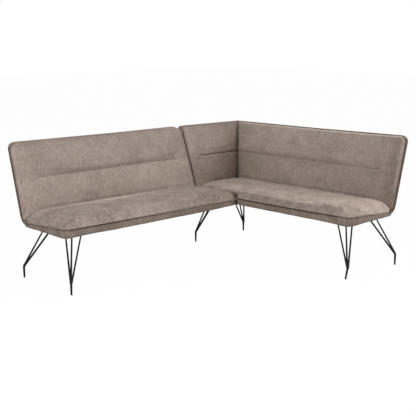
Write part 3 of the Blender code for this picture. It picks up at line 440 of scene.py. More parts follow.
def chenille(name, dark, middle, light, stretch, turn, spread):
    """Short-pile chenille: brushed mottling, fine nubs, a soft sheen, and painted shade and highlight
    from an attribute.
    """
    material, tree, shader = new_material(name)
    links = tree.links
    place = tree.nodes.new("ShaderNodeTexCoord").outputs["Object"]
    brush_and_painted_shade = add_node(tree, "ShaderNodeMapping")
    brush_and_painted_shade.inputs["Rotation"].default_value = (0.0, 0.0, turn)
    brush_and_painted_shade.inputs["Scale"].default_value = stretch
    links.new(place, brush_and_painted_shade.inputs["Vector"])
    cloud = add_node(tree, "ShaderNodeTexNoise", Scale=7.0, Detail=3.0, Roughness=0.6)
    streak = add_node(tree, "ShaderNodeTexNoise", Scale=62.0, Detail=4.0, Roughness=0.65)
    grain = add_node(tree, "ShaderNodeTexNoise", Scale=230.0, Detail=3.0, Roughness=0.7)
    nub = add_node(tree, "ShaderNodeTexVoronoi", Scale=430.0)
    fuzz = add_node(tree, "ShaderNodeTexNoise", Scale=800.0, Detail=2.0, Roughness=0.6)
    links.new(brush_and_painted_shade.outputs["Vector"], streak.inputs["Vector"])
    for node in (cloud, grain, nub, fuzz):
        links.new(place, node.inputs["Vector"])
    coarse = add_node(tree, "ShaderNodeMix", data_type="FLOAT")
    coarse.inputs[0].default_value = 0.62
    links.new(cloud.outputs["Fac"], coarse.inputs[2])
    links.new(streak.outputs["Fac"], coarse.inputs[3])
    both = add_node(tree, "ShaderNodeMix", data_type="FLOAT")
    both.inputs[0].default_value = 0.28
    links.new(coarse.outputs[0], both.inputs[2])
    links.new(grain.outputs["Fac"], both.inputs[3])
    ramp = tree.nodes.new("ShaderNodeValToRGB")
    ramp.color_ramp.elements[0].position = 0.5 - spread
    ramp.color_ramp.elements[0].color = (*dark, 1.0)
    ramp.color_ramp.elements[1].position = 0.5 + spread
    ramp.color_ramp.elements[1].color = (*light, 1.0)
    centre = ramp.color_ramp.elements.new(0.5)
    centre.color = (*middle, 1.0)
    links.new(both.outputs[0], ramp.inputs["Fac"])
    # Painted shade and highlight from the point attribute: darker toward brown, or up to twice as
    # bright.
    seam = tree.nodes.new("ShaderNodeAttribute")
    seam.attribute_name = "painted_shade_and_light"
    deep = add_node(tree, "ShaderNodeMix", data_type="RGBA", blend_type="MULTIPLY")
    links.new(seam.outputs["Fac"], deep.inputs[0])
    links.new(ramp.outputs["Color"], deep.inputs[6])
    deep.inputs[7].default_value = (0.23, 0.165, 0.125, 1.0)
    painted_highlight = add_node(tree, "ShaderNodeMath", operation="MULTIPLY", use_clamp=True)
    painted_highlight.inputs[1].default_value = -1.0
    links.new(seam.outputs["Fac"], painted_highlight.inputs[0])
    bright = add_node(tree, "ShaderNodeMix", data_type="RGBA", blend_type="MULTIPLY")
    links.new(painted_highlight.outputs[0], bright.inputs[0])
    links.new(deep.outputs[2], bright.inputs[6])
    bright.inputs[7].default_value = (2.0, 2.0, 2.0, 1.0)
    links.new(bright.outputs[2], shader.inputs["Base Color"])
    shader.inputs["Roughness"].default_value = 0.92
    shader.inputs["Specular IOR Level"].default_value = 0.2
    shader.inputs["Sheen Weight"].default_value = 0.10
    shader.inputs["Sheen Tint"].default_value = (1.0, 0.86, 0.76, 1.0)
    shader.inputs["Sheen Roughness"].default_value = 0.45
    height = add_node(tree, "ShaderNodeMix", data_type="FLOAT")
    height.inputs[0].default_value = 0.5
    links.new(nub.outputs["Distance"], height.inputs[2])
    links.new(fuzz.outputs["Fac"], height.inputs[3])
    fine = add_node(tree, "ShaderNodeBump", Strength=0.35, Distance=0.0012)
    links.new(height.outputs[0], fine.inputs["Height"])
    broad = add_node(tree, "ShaderNodeBump", Strength=0.30, Distance=0.0030)
    links.new(streak.outputs["Fac"], broad.inputs["Height"])
    links.new(fine.outputs["Normal"], broad.inputs["Normal"])
    links.new(broad.outputs["Normal"], shader.inputs["Normal"])
    return material


def powder_coat():
    """Satin black powder coat with a faint orange peel."""
    material, tree, shader = new_material("black_powder_coat")
    place = tree.nodes.new("ShaderNodeTexCoord").outputs["Object"]
    grain = add_node(tree, "ShaderNodeTexNoise", Scale=600.0, Detail=2.0)
    tree.links.new(place, grain.inputs["Vector"])
    tone = tree.nodes.new("ShaderNodeValToRGB")
    tone.color_ramp.elements[0].color = (0.004, 0.004, 0.005, 1.0)
    tone.color_ramp.elements[1].color = (0.011, 0.011, 0.013, 1.0)
    tree.links.new(grain.outputs["Fac"], tone.inputs["Fac"])
    tree.links.new(tone.outputs["Color"], shader.inputs["Base Color"])
    shader.inputs["Specular IOR Level"].default_value = 0.16
    rough = add_node(tree, "ShaderNodeMapRange", To_Min=0.34, To_Max=0.50)
    tree.links.new(grain.outputs["Fac"], rough.inputs["Value"])
    tree.links.new(rough.outputs["Result"], shader.inputs["Roughness"])
    bump = add_node(tree, "ShaderNodeBump", Strength=0.12, Distance=0.0003)
    tree.links.new(grain.outputs["Fac"], bump.inputs["Height"])
    tree.links.new(bump.outputs["Normal"], shader.inputs["Normal"])
    return material


def grained_wood():
    """Pale birch plywood with long grain."""
    material, tree, shader = new_material("birch_plywood")
    place = tree.nodes.new("ShaderNodeTexCoord").outputs["Object"]
    stretch = add_node(tree, "ShaderNodeMapping")
    stretch.inputs["Scale"].default_value = (3.0, 60.0, 60.0)
    tree.links.new(place, stretch.inputs["Vector"])
    grain = add_node(tree, "ShaderNodeTexNoise", Scale=3.0, Detail=6.0, Roughness=0.65)
    tree.links.new(stretch.outputs["Vector"], grain.inputs["Vector"])
    tone = tree.nodes.new("ShaderNodeValToRGB")
    tone.color_ramp.elements[0].color = (0.42, 0.28, 0.15, 1.0)
    tone.color_ramp.elements[1].color = (0.66, 0.50, 0.32, 1.0)
    tree.links.new(grain.outputs["Fac"], tone.inputs["Fac"])
    tree.links.new(tone.outputs["Color"], shader.inputs["Base Color"])
    shader.inputs["Roughness"].default_value = 0.6
    bump = add_node(tree, "ShaderNodeBump", Strength=0.2, Distance=0.0004)
    tree.links.new(grain.outputs["Fac"], bump.inputs["Height"])
    tree.links.new(bump.outputs["Normal"], shader.inputs["Normal"])
    return material


def dark_cloth(name, tone_low, tone_high, scale):
    """Black webbing or non-woven cloth with a fine crossed weave."""
    material, tree, shader = new_material(name)
    place = tree.nodes.new("ShaderNodeTexCoord").outputs["Object"]
    weave = add_node(tree, "ShaderNodeTexChecker", Scale=scale)
    fibre = add_node(tree, "ShaderNodeTexNoise", Scale=scale * 0.4, Detail=3.0)
    for node in (weave, fibre):
        tree.links.new(place, node.inputs["Vector"])
    tone = tree.nodes.new("ShaderNodeValToRGB")
    tone.color_ramp.elements[0].color = (*tone_low, 1.0)
    tone.color_ramp.elements[1].color = (*tone_high, 1.0)
    tree.links.new(fibre.outputs["Fac"], tone.inputs["Fac"])
    tree.links.new(tone.outputs["Color"], shader.inputs["Base Color"])
    shader.inputs["Roughness"].default_value = 0.95
    bump = add_node(tree, "ShaderNodeBump", Strength=0.3, Distance=0.0004)
    tree.links.new(weave.outputs["Fac"], bump.inputs["Height"])
    tree.links.new(bump.outputs["Normal"], shader.inputs["Normal"])
    return material


def zinc_plate():
    """Bright zinc on flat steel, a little blotchy."""
    material, tree, shader = new_material("zinc_plate")
    place = tree.nodes.new("ShaderNodeTexCoord").outputs["Object"]
    blotch = add_node(tree, "ShaderNodeTexNoise", Scale=90.0, Detail=3.0)
    tree.links.new(place, blotch.inputs["Vector"])
    tone = tree.nodes.new("ShaderNodeValToRGB")
    tone.color_ramp.elements[0].color = (0.42, 0.43, 0.45, 1.0)
    tone.color_ramp.elements[1].color = (0.62, 0.63, 0.65, 1.0)
    tree.links.new(blotch.outputs["Fac"], tone.inputs["Fac"])
    tree.links.new(tone.outputs["Color"], shader.inputs["Base Color"])
    rough = add_node(tree, "ShaderNodeMapRange", To_Min=0.28, To_Max=0.45)
    tree.links.new(blotch.outputs["Fac"], rough.inputs["Value"])
    tree.links.new(rough.outputs["Result"], shader.inputs["Roughness"])
    shader.inputs["Metallic"].default_value = 1.0
    return material


def channel_strength(run, channel):
    """1 along the stitched channel, fading out before its ends."""
    start, end = channel
    return smooth_step((run - start) / CHANNEL_FADE) * smooth_step((end - run) / CHANNEL_FADE)


def press_channel(piece, wall, channel, stitch_share, shade_share):
    """Sew the channel into a back: a fold above, a tight lip below, small puckers; return its painted
    shade.
    """
    normals = normals_of(piece)
    run, depth, height = wall_axes(points_of(piece), wall)
    rise, layer = back_axes(depth, height)
    out = np.abs(normals[:, 1] if wall == "left" else normals[:, 0])
    front = (layer > FRONT_LAYER) & (out > 0.2)
    along = channel_strength(run, channel)
    offset = rise - CHANNEL_RISE - CHANNEL_WANDER * ripple(run, 3.1, 0.060)
    groove = np.exp(-np.abs(offset / 0.0045) ** 1.5)
    fold = bell(offset - 0.016, 0.011)
    lip = bell(offset + 0.010, 0.0055)
    pucker = ripple(run, 7.7, 0.018) * np.exp(-np.abs(offset) / 0.028)
    change = CHANNEL_FOLD * fold + CHANNEL_LIP * lip + CHANNEL_PUCKER * pucker - CHANNEL_DEPTH * groove
    layer = layer + np.where(front, stitch_share * change * along, 0.0)
    move_points(piece, world_points(run, *back_place(rise, layer), wall))
    # Painted shade: a broken dark line and soft shade above it, and a painted highlight on the lip
    # below.
    broken = 0.6 + 0.9 * ripple(run, 1.9, 0.045)
    line = bell(offset - 0.0015, 0.0038)
    soft = 0.22 * bell(offset - 0.013, 0.010) * (1 + ripple(run, 4.4, 0.12))
    light = 0.9 * bell(offset + 0.0075, 0.0040)
    return np.where(front, along * (broken * line + soft - light) * shade_share, 0.0)


def subdivide_near(piece, wall, low, high):
    """Make the mesh finer in a strip of the front between two rises."""
    run, depth, height = wall_axes(points_of(piece), wall)
    rise, layer = back_axes(depth, height)
    chosen = (rise > low) & (rise < high) & (layer > FRONT_LAYER)
    only(piece)
    bpy.ops.object.mode_set(mode="EDIT")
    bpy.ops.mesh.select_all(action="DESELECT")
    bpy.ops.mesh.select_mode(type="VERT")
    bpy.ops.object.mode_set(mode="OBJECT")
    piece.data.vertices.foreach_set("select", chosen)
    bpy.ops.object.mode_set(mode="EDIT")
    bpy.ops.mesh.select_mode(type="FACE")
    bpy.ops.mesh.subdivide(number_cuts=1, smoothness=0.5)
    bpy.ops.object.mode_set(mode="OBJECT")


def joint_lean(height):
    """The backs' joint leans away from the corner as it rises."""
    return JOINT_LEAN * (height - BACK_LINE[1]) / (HEIGHT - BACK_LINE[1])


def mitre(depth, height):
    """Where a back meets its neighbour in the room's corner."""
    return depth


def left_joint(depth, height):
    """Where the left back starts, beside the corner's return."""
    return LEFT_START + joint_lean(height)


def return_end(depth, height):
    """Where the corner's return ends, beside the left back."""
    return CORNER_DEPTH + joint_lean(height)


def left_end(depth, height):
    """The outer end of the left bench."""
    return LEFT_END


def right_end(depth, height):
    """The outer end of the corner bench."""
    return RIGHT_END


def keep_back_in_place(piece, wall, ends):
    """Hold a back cushion clear of its shell and of its neighbours."""
    near, far = ends
    run, depth, height = wall_axes(points_of(piece), wall)
    rise, layer = back_axes(depth, height)
    layer = np.maximum(layer, SHELL_THICKNESS + 0.0004)
    rise = np.minimum(rise, SHELL_TOP - 0.009)
    depth, height = back_place(rise, layer)
    run = np.clip(run, near(depth, height) + 0.0006, far(depth, height) - 0.0004)
    move_points(piece, world_points(run, depth, height, wall))


def back_shade(piece, wall, ends, painted_shading, look, channel_shade):
    """Store a back's painted shade and highlight: its channel, edges and seat line, its shading and
    bright strips.
    """
    near, far = ends
    run, depth, height = wall_axes(points_of(piece), wall)
    rise, layer = back_axes(depth, height)
    near_edge = run - near(depth, height)
    far_edge = far(depth, height) - run
    # Painted shade along the joint or mitre and at the far end, where the neighbour shades it.
    edge = look["near"] * (0.7 * bell(near_edge, 0.007) + 0.3 * np.exp(-near_edge / 0.040))
    edge = edge + look["far"] * bell(far_edge, 0.006)
    # Painted shade down the far end's side, which faces away from the light.
    side = bell(far_edge, 0.022) * (1 - smooth_step((layer - 0.032) / 0.010))
    edge = np.maximum(edge, look["side"] * side)
    lower = 1 - smooth_step((rise - CHANNEL_RISE + 0.010) / 0.030)
    marks, lower_shading, upper_shading = painted_shading
    brush_and_painted_shade = lower * np.interp(run, marks, lower_shading) + (1 - lower) * np.interp(run, marks, upper_shading)
    # Painted highlight strips: just under the top edge and on the rolled far end.
    under_top = smooth_step((rise - SHELL_TOP + 0.026) / 0.008) * smooth_step((far_edge - 0.01) / 0.03)
    roll = bell(layer - 0.055, 0.008) * bell(far_edge, 0.014) * smooth_step((rise - 0.04) / 0.10)
    strip = look["top_strip"] * under_top + look["side_strip"] * roll
    # Painted shade just above the seat, where the seat meets the back.
    seat_contact_shade = 0.30 * bell(height - SEAT_TOP, 0.006) * (layer > FRONT_LAYER)
    seat_contact_shade = seat_contact_shade * smooth_step((far_edge - 0.10) / 0.12)
    dark = np.maximum(np.maximum(channel_shade, edge), seat_contact_shade)
    light = np.minimum(channel_shade, 0.0)
    shade_attribute(piece, dark + light + brush_and_painted_shade * (1 - dark) - strip * (1 - edge))


def back_cushion(name, node, wall, ends, channel, painted_shading, look, material):
    """A back's front cushion, swollen between its seams and then stitched."""
    piece = even_copy(name, node, BACK_VOXEL)
    relax(piece, 0.5, 2)
    run, depth, height = wall_axes(points_of(piece), wall)
    rise, layer = back_axes(depth, height)
    valley = (np.abs(rise - CHANNEL_RISE) < 0.009) & (channel_strength(run, channel) > 0.5)
    swell(piece, valley | (layer < SEWN_LAYER), BACK_SLACK)
    refine(piece)
    undulate(piece, 0.0022, 0.11, 5.0)
    keep_back_in_place(piece, wall, ends)
    subdivide_near(piece, wall, CHANNEL_RISE - 0.026, CHANNEL_RISE + 0.030)
    channel_shade = press_channel(piece, wall, channel, look["stitch"], look["channel"])
    back_shade(piece, wall, ends, painted_shading, look, channel_shade)
    move_points(piece, hang(points_of(piece), wall))
    finish_piece(piece, material, "main_fabric", node)


def seam_height(depth, front):
    """The seam between band and cushion rises towards the front."""
    front_depth, seam_front = front
    share = (depth - SEAM_REAR_DEPTH) / (front_depth - SEAM_REAR_DEPTH)
    return SEAM_REAR + (seam_front - SEAM_REAR) * share


def seam_lift(run, depth, wall):
    """How far a seat's seam is pulled above its straight line."""
    forward = smooth_step((depth - 0.15) / 0.30)
    if wall == "left":
        return forward * np.interp(run, (0.60, 0.85, 1.80, 2.00), (0.0, 0.0065, 0.0080, 0.0130))
    return forward * np.interp(run, (1.15, 1.45), (0.0, 0.0085))


def ease_seam(points, wall, front):
    """Lift what lies near the seam with it, and let the left band hang a little at the front."""
    run, depth, height = wall_axes(points, wall)
    seam = seam_height(depth, front)
    height = height + seam_lift(run, depth, wall) * bell(height - seam, 0.022)
    if wall == "left":
        slack = np.interp(run, (0.62, 0.85, 1.65, 1.90), (0.0, 0.005, 0.005, 0.0))
        slack = slack * smooth_step((depth - front[0] + 0.06) / 0.03)
        height = height - slack * (1 - smooth_step((height - SEAT_UNDERSIDE) / 0.020))
    return world_points(run, depth, height, wall)


def rear_face(height):
    """How far out the seat's rear face lies, against the back."""
    return BACK_LINE[0] + 0.001 - (height - BACK_LINE[1]) * SIN / COS


def joint_shade(run, depth, height, wall):
    """Painted shade between the two seats, where one end meets the other's front."""
    if wall == "left":
        return 0.8 * bell(run - LEFT_START, 0.036)
    low = 1 - smooth_step((height - 0.43) / 0.035)
    near = bell(CORNER_DEPTH - depth, 0.030)
    beside = 1 - smooth_step((run - LEFT_DEPTH + 0.006) / 0.012)
    top = 1 - 0.6 * smooth_step((run - 0.47) / 0.05)
    return 0.95 * near * beside * (low + (1 - low) * top)


def square_rear_end(piece, wall, ends, front):
    """Carry the seat's rear corner out to the end in a long slope, and fill its joint end."""
    start, end = ends
    run, depth, height = wall_axes(points_of(piece), wall)
    seam = seam_height(depth, front)
    outer = smooth_step((run - end + 0.17) / 0.13)
    rear = 1 - smooth_step((depth - 0.20) / 0.16)
    back_corner = 1 - smooth_step((depth - 0.13) / 0.09)
    over = np.clip((height - seam) / 0.07, 0.0, 1.0)
    run = np.minimum(run + 0.042 * outer * rear, np.maximum(end - 0.001, run))
    depth = np.maximum(depth - 0.036 * outer * back_corner, rear_face(height))
    wrinkle = 0.0022 * ripple(0.45 * run + depth, 6.1, 0.020) * (outer + 0.35) * rear
    tip = smooth_step((run - end + 0.075) / 0.075)
    height = height + (wrinkle - (0.012 * outer + 0.026 * tip) * rear) * over
    if wall == "left":
        by_joint = bell(run - start, 0.085) * smooth_step((depth - 0.22) / 0.15)
        above_seam = smooth_step((height - seam - 0.004) / 0.03)
        height = height + 0.68 * np.clip(0.468 - height, 0.0, 0.03) * by_joint * above_seam
    move_points(piece, world_points(run, depth, height, wall))


def seat_shade(piece, wall, front, painted_shading):
    """Store a seat's painted shade and highlight: its seam, its joint, its shading and a bright rear
    top.
    """
    run, depth, height = wall_axes(points_of(piece), wall)
    seam = seam_height(depth, front)
    from_back = depth - rear_face(height)
    # Painted highlight on the top near the back.
    painted_highlight = 0.40 * bell(from_back - 0.022, 0.010)
    if wall == "left":
        strength = np.interp(run, (0.80, 1.20, 1.70, 1.95), (0.0, 1.3, 1.2, 0.5))
        painted_highlight = painted_highlight + strength * bell(from_back - 0.055, 0.045)
    painted_highlight = painted_highlight * (height > seam + 0.04)
    # Painted highlight on the flange above the seam, and painted shade in the seam's groove.
    flange_highlight = 0.35 * bell(height - seam - 0.0085, 0.0030)
    dark = np.maximum(0.85 * bell(height - seam, 0.0045), joint_shade(run, depth, height, wall))
    # The front roll gets its own painted shading, darker where it turns away from the light.
    ahead, outwards = (1, 0) if wall == "left" else (0, 1)
    normals = normals_of(piece)
    by_front = smooth_step((depth - 0.30) / 0.15)
    facing = np.maximum(-normals[:, ahead], -0.7 * normals[:, outwards] * by_front)
    steep = smooth_step((facing - 0.15) / 0.30)
    marks, top_shading, front_shading = painted_shading
    brush_and_painted_shade = np.interp(run, marks, top_shading) * (1 - steep) + np.interp(run, marks, front_shading) * steep
    shade_attribute(piece, dark + (brush_and_painted_shade - flange_highlight - painted_highlight) * (1 - dark))


def seat_cushion(name, node, wall, ends, front, painted_shading, material):
    """A seat cushion, swollen over its frame, with a sewn lower edge."""
    piece = even_copy(name, node, SEAT_VOXEL)
    relax(piece, 0.5, 2)
    run, depth, height = wall_axes(points_of(piece), wall)
    sewn = (height < seam_height(depth, front) + 0.010) | (depth < rear_face(height) + 0.008)
    swell(piece, sewn, SEAT_SLACK)
    refine(piece)
    undulate(piece, 0.0024, 0.10, 9.0)
    run, depth, height = wall_axes(points_of(piece), wall)
    depth = np.clip(depth, rear_face(height), front[0] + 0.004)
    lowest_run = ends[0] if wall == "left" else rear_face(height)
    run = np.clip(run, lowest_run, ends[1] + 0.003)
    move_points(piece, world_points(run, depth, height, wall))
    square_rear_end(piece, wall, ends, front)
    seat_shade(piece, wall, front, painted_shading)
    move_points(piece, ease_seam(points_of(piece), wall, front))
    finish_piece(piece, material, "main_fabric", node)


def sag(run, wall):
    """How far a back's top edge hangs below its straight line."""
    if wall == "left":
        return np.interp(run, (0.0, 0.56, 1.20, 2.0), (0.006, 0.004, 0.0075, 0.0045))
    return np.interp(run, (0.0, 0.75, 1.50), (0.006, 0.006, 0.0))


def hang(points, wall):
    """Let the upper part of a back hang by its sag, and ease the left joint to its seam."""
    run, depth, height = wall_axes(points, wall)
    rise, layer = back_axes(depth, height)
    if wall == "left":
        from_joint = run - LEFT_START - joint_lean(height)
        run = run - JOINT_SHIFT * bell(from_joint, 0.07)
        dip = np.where(from_joint > -0.002, 0.010, 0.004) * bell(from_joint, 0.030)
        rise = rise - dip * smooth_step((rise - 0.36) / 0.08)
    rise = rise - sag(run, wall) * smooth_step((rise - 0.25) / 0.18)
    return world_points(run, *back_place(rise, layer), wall)


def back_shell(name, node, wall, top_shade, side_shade, material):
    """The padded shell behind a back, with painted shade on its sides and top by how light falls."""
    piece = even_copy(name, node, SHELL_VOXEL)
    relax(piece, 0.4, 1)
    normals = normals_of(piece)
    side = np.abs(normals[:, 0] if wall == "left" else normals[:, 1])
    top = np.clip(normals[:, 2], 0.0, 1.0) * (1 - side)
    shade_attribute(piece, side_shade * side ** 2 + top_shade * top)
    move_points(piece, hang(points_of(piece), wall))
    finish_piece(piece, material, "main_fabric", node)


def seat_border(name, node, wall, front, material):
    """The padded band under a seat cushion, with painted shade at its seam, its bottom edge and the
    seats' joint.
    """
    piece = even_copy(name, node, BAND_VOXEL)
    relax(piece, 0.4, 2)
    undulate(piece, 0.0012, 0.05, 2.0)
    run, depth, height = wall_axes(points_of(piece), wall)
    shade = bell(height - seam_height(depth, front), 0.0060)
    shade = shade + 0.45 * (1 - smooth_step((height - SEAT_UNDERSIDE) / 0.008))
    shade_attribute(piece, np.maximum(shade, joint_shade(run, depth, height, wall)))
    move_points(piece, ease_seam(points_of(piece), wall, front))
    finish_piece(piece, material, "border_fabric", node)


def welt(name, points, radius, wall, shades, slot, material):
    """A sewn welt: a round cord of fabric, with one amount of painted shade at the top and another down
    the sides.
    """
    curve = bpy.data.curves.new(name, "CURVE")
    curve.dimensions = "3D"
    curve.bevel_depth = radius
    curve.bevel_resolution = 3
    curve.use_fill_caps = True
    spline = curve.splines.new("POLY")
    spline.points.add(len(points) - 1)
    for target, point in zip(spline.points, points):
        target.co = (*point, 1.0)
    piece = bpy.data.objects.new(name, curve)
    bpy.context.scene.collection.objects.link(piece)
    only(piece)
    bpy.ops.object.convert(target="MESH")
    piece = bpy.context.view_layer.objects.active
    top_shade, side_shade = shades
    top = smooth_step((points_of(piece)[:, 2] - HEIGHT + 0.040) / 0.025)
    shade_attribute(piece, top_shade * top + side_shade * (1 - top))
    move_points(piece, hang(points_of(piece), wall))
    finish_piece(piece, material, slot)


def world_point(run, depth, height, wall):
    """One point of a wall's axes in the frame."""
    row = world_points(np.array([run]), np.array([depth]), np.array([height]), wall)[0]
    return tuple(float(value) for value in row)


def round_marks(side, radius, top, steps):
    """Marks round a back's upper corner, in steps of 15 degrees from its side up to its top."""
    marks = []
    for step in steps:
        angle = math.radians(15 * step)
        reach = radius * (1 - math.cos(angle)) - WELT_OUT
        marks.append((side, reach, top - radius * (1 - math.sin(angle))))
    return marks


def back_edge(wall, ends, near_radius, far_radius, seat_run):
    """The line round a back where its shell meets its cushion, and on to the seat's seam."""
    near, far = ends
    top = SHELL_TOP - SHELL_HALF + 0.0010
    marks = []
    if near_radius:
        marks += [("near", -WELT_OUT, rise) for rise in WELT_RISES]
        marks += round_marks("near", near_radius, top, range(7))
    else:
        marks.append(("near", 0.003, top))
    marks += round_marks("far", far_radius, top, reversed(range(7)))
    marks += [("far", -WELT_OUT, rise) for rise in reversed(WELT_RISES)]
    points = []
    for side, reach, rise in marks:
        depth, height = back_place(rise, SHELL_THICKNESS + 0.0002)
        run = near(depth, height) + reach if side == "near" else far(depth, height) - reach
        points.append(world_point(run, depth, height, wall))
    if seat_run:
        points.append(world_point(seat_run, SEAM_REAR_DEPTH - 0.006, SEAM_REAR + 0.003, wall))
    return points


def seat_edge(wall, ends, front, joint):
    """The line round a seat just above its seam."""
    start, end = ends
    front_depth = front[0]
    corners = []
    marks = []
    if joint:
        marks.append((start, SEAM_REAR_DEPTH + 0.02))
        corners.append((start, SEAT_JOINT_RADIUS, 180))
    else:
        marks.append((start, front_depth))
    corners.append((end, SEAT_CORNER_RADIUS, 90))
    for run, radius, turn in corners:
        side = 1 if turn == 180 else -1
        for i in range(9):
            angle = math.radians(turn - 90 * i / 8)
            across = run + side * radius + radius * math.cos(angle)
            marks.append((across, front_depth - radius + radius * math.sin(angle)))
    marks.append((end, SEAM_REAR_DEPTH - 0.006))
    points = []
    for run, depth in marks:
        height = seam_height(depth, front) + 0.0028 + seam_lift(run, depth, wall)
        points.append(world_point(run, depth, height, wall))
    return points


def choose_faces(piece, test):
    """Leave only the faces whose middle and normal pass a test selected, in edit mode."""
    bpy.ops.object.mode_set(mode="EDIT")
    bpy.ops.mesh.select_mode(type="FACE")
    bpy.ops.mesh.select_all(action="DESELECT")
    bpy.ops.object.mode_set(mode="OBJECT")
    for face in piece.data.polygons:
        face.select = test(face.center, face.normal)
    bpy.ops.object.mode_set(mode="EDIT")


def model_bolt(material):
    """A hexagon bolt with its washer, its bearing face at the origin and its shank upwards."""
    bpy.ops.object.select_all(action="DESELECT")
    bpy.ops.mesh.primitive_cylinder_add(
        vertices=24, radius=WASHER_RADIUS, depth=WASHER_THICKNESS,
        location=(0.0, 0.0, -WASHER_THICKNESS / 2),
    )
    model = bpy.context.active_object
    bpy.ops.object.transform_apply(location=True, rotation=False, scale=False)
    bpy.ops.object.mode_set(mode="EDIT")
    shank = WASHER_THICKNESS + PLATE_THICKNESS - 0.0003
    bpy.ops.mesh.primitive_cylinder_add(
        vertices=16, radius=SHANK_RADIUS, depth=shank, location=(0.0, 0.0, shank / 2 - WASHER_THICKNESS),
    )
    middle = -WASHER_THICKNESS - BOLT_HEAD / 2
    bpy.ops.mesh.primitive_cylinder_add(
        vertices=6, radius=BOLT_RADIUS, depth=BOLT_HEAD, location=(0.0, 0.0, middle),
    )
    lowest = -WASHER_THICKNESS - BOLT_HEAD
    choose_faces(model, lambda place, normal: normal.z < -0.9 and place.z < lowest + 0.0001)
    bpy.ops.mesh.bevel(offset=0.0006, segments=2)
    bpy.ops.object.mode_set(mode="OBJECT")
    model.data.materials.append(material)
    return model


def model_staple(material):
    """A wire staple along x, its crown at the origin and its two legs driven upwards."""
    bpy.ops.object.select_all(action="DESELECT")
    bpy.ops.mesh.primitive_cube_add(size=STAPLE_WIRE, location=(-STAPLE_WIDTH / 2, 0.0, 0.0))
    model = bpy.context.active_object
    bpy.ops.object.transform_apply(location=True, rotation=False, scale=False)
    for reach in (STAPLE_WIDTH - STAPLE_WIRE, STAPLE_WIRE):
        choose_faces(model, lambda place, normal: normal.x > 0.9)
        bpy.ops.mesh.extrude_region_move(TRANSFORM_OT_translate={"value": (reach, 0.0, 0.0)})
    ends = STAPLE_WIDTH / 2 - STAPLE_WIRE
    choose_faces(model, lambda place, normal: normal.z > 0.9 and abs(place.x) > ends)
    bpy.ops.mesh.extrude_region_move(TRANSFORM_OT_translate={"value": (0.0, 0.0, STAPLE_LEG)})
    bpy.ops.object.mode_set(mode="OBJECT")
    rounded = model.modifiers.new("rounded", "BEVEL")
    rounded.width = STAPLE_WIRE / 4
    rounded.segments = 1
    apply_all(model)
    model.data.materials.append(material)
    return model


def repeat_model(name, model, places):
    """Copy a small fastener to each of its places and join the copies to one piece."""
    copies = []
    for place in places:
        mesh = model.data.copy()
        mesh.transform(place)
        copies.append(bpy.data.objects.new(name, mesh))
        bpy.context.scene.collection.objects.link(copies[-1])
    only(copies[0])
    for copy in copies:
        copy.select_set(True)
    bpy.ops.object.join()
    piece = bpy.context.active_object
    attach(piece, "root")


def all_bolts(material):
    """The bolts of the six leg plates and of the two joining plates."""
    model = model_bolt(material)
    half = BOLT_SPACING / 2
    for leg in [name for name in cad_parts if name.endswith("_leg")]:
        low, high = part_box(leg)
        foot_low, foot_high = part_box(leg[:-4] + "_glide")
        middle = []
        for axis in (0, 1):
            foot = (foot_low[axis] + foot_high[axis]) / 2
            nearer_low = foot - low[axis] < high[axis] - foot
            middle.append(high[axis] - PLATE_SIZE / 2 if nearer_low else low[axis] + PLATE_SIZE / 2)
        level = high[2] - PLATE_THICKNESS - 0.0001
        places = []
        for a in (-1, 1):
            for b in (-1, 1):
                places.append(Matrix.Translation((middle[0] + a * half, middle[1] + b * half, level)))
        repeat_model(leg[:-4] + "_bolts", model, places)
    for plate in ("joining_plate_1", "joining_plate_2"):
        low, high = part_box(plate)
        centre = (low[1] + high[1]) / 2
        places = []
        for end, way in ((low[0], 1), (high[0], -1)):
            for reach in (JOIN_BOLT_EDGE, JOIN_BOLT_EDGE + JOIN_BOLT_SPACING):
                places.append(Matrix.Translation((end + way * reach, centre, low[2] - 0.0001)))
        repeat_model(plate + "_bolts", model, places)
    bpy.data.objects.remove(model)


def leg_rods(name, node, material):
    """A leg's rods and plate, rounded by their powder coat."""
    piece = copy_of_node(name, node)
    points = points_of(piece)
    free = (points[:, 2] > FOOT_TOP) & (points[:, 2] < SEAT_UNDERSIDE - 0.010)
    move_points(piece, points + normals_of(piece) * np.where(free, COAT, 0.0)[:, None])
    piece.data.materials.clear()
    piece.data.materials.append(material)
    bpy.ops.object.shade_smooth_by_angle(angle=math.radians(50))
    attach(piece, "root")
    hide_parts(node)


def bottom_cloth(name, node, material):
    """The cloth stapled under a frame, stretched flat."""
    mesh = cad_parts[node].data.copy()
    piece = bpy.data.objects.new(name, mesh)
    bpy.context.scene.collection.objects.link(piece)
    piece.data.materials.clear()
    piece.data.materials.append(material)
    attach(piece, "root")
    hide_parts(node)


def staples(name, cloth, material):
    """Wire staples along the edges of a bottom cloth."""
    model = model_staple(material)
    low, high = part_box(cloth)
    level = low[2] - STAPLE_WIRE / 2 - 0.0001
    places = []
    for axis in (0, 1):
        other = 1 - axis
        turn = Matrix.Rotation(math.pi / 2 * axis, 4, "Z")
        reach = high[axis] - low[axis] - 2 * STAPLE_FROM_CORNER
        count = int(reach / STAPLE_PITCH)
        for side in (low[other] + STAPLE_INSET, high[other] - STAPLE_INSET):
            for i in range(count + 1):
                place = [0.0, 0.0, level]
                place[axis] = low[axis] + STAPLE_FROM_CORNER + reach * i / count
                place[other] = side
                places.append(Matrix.Translation(place) @ turn)
    repeat_model(name, model, places)
    bpy.data.objects.remove(model)


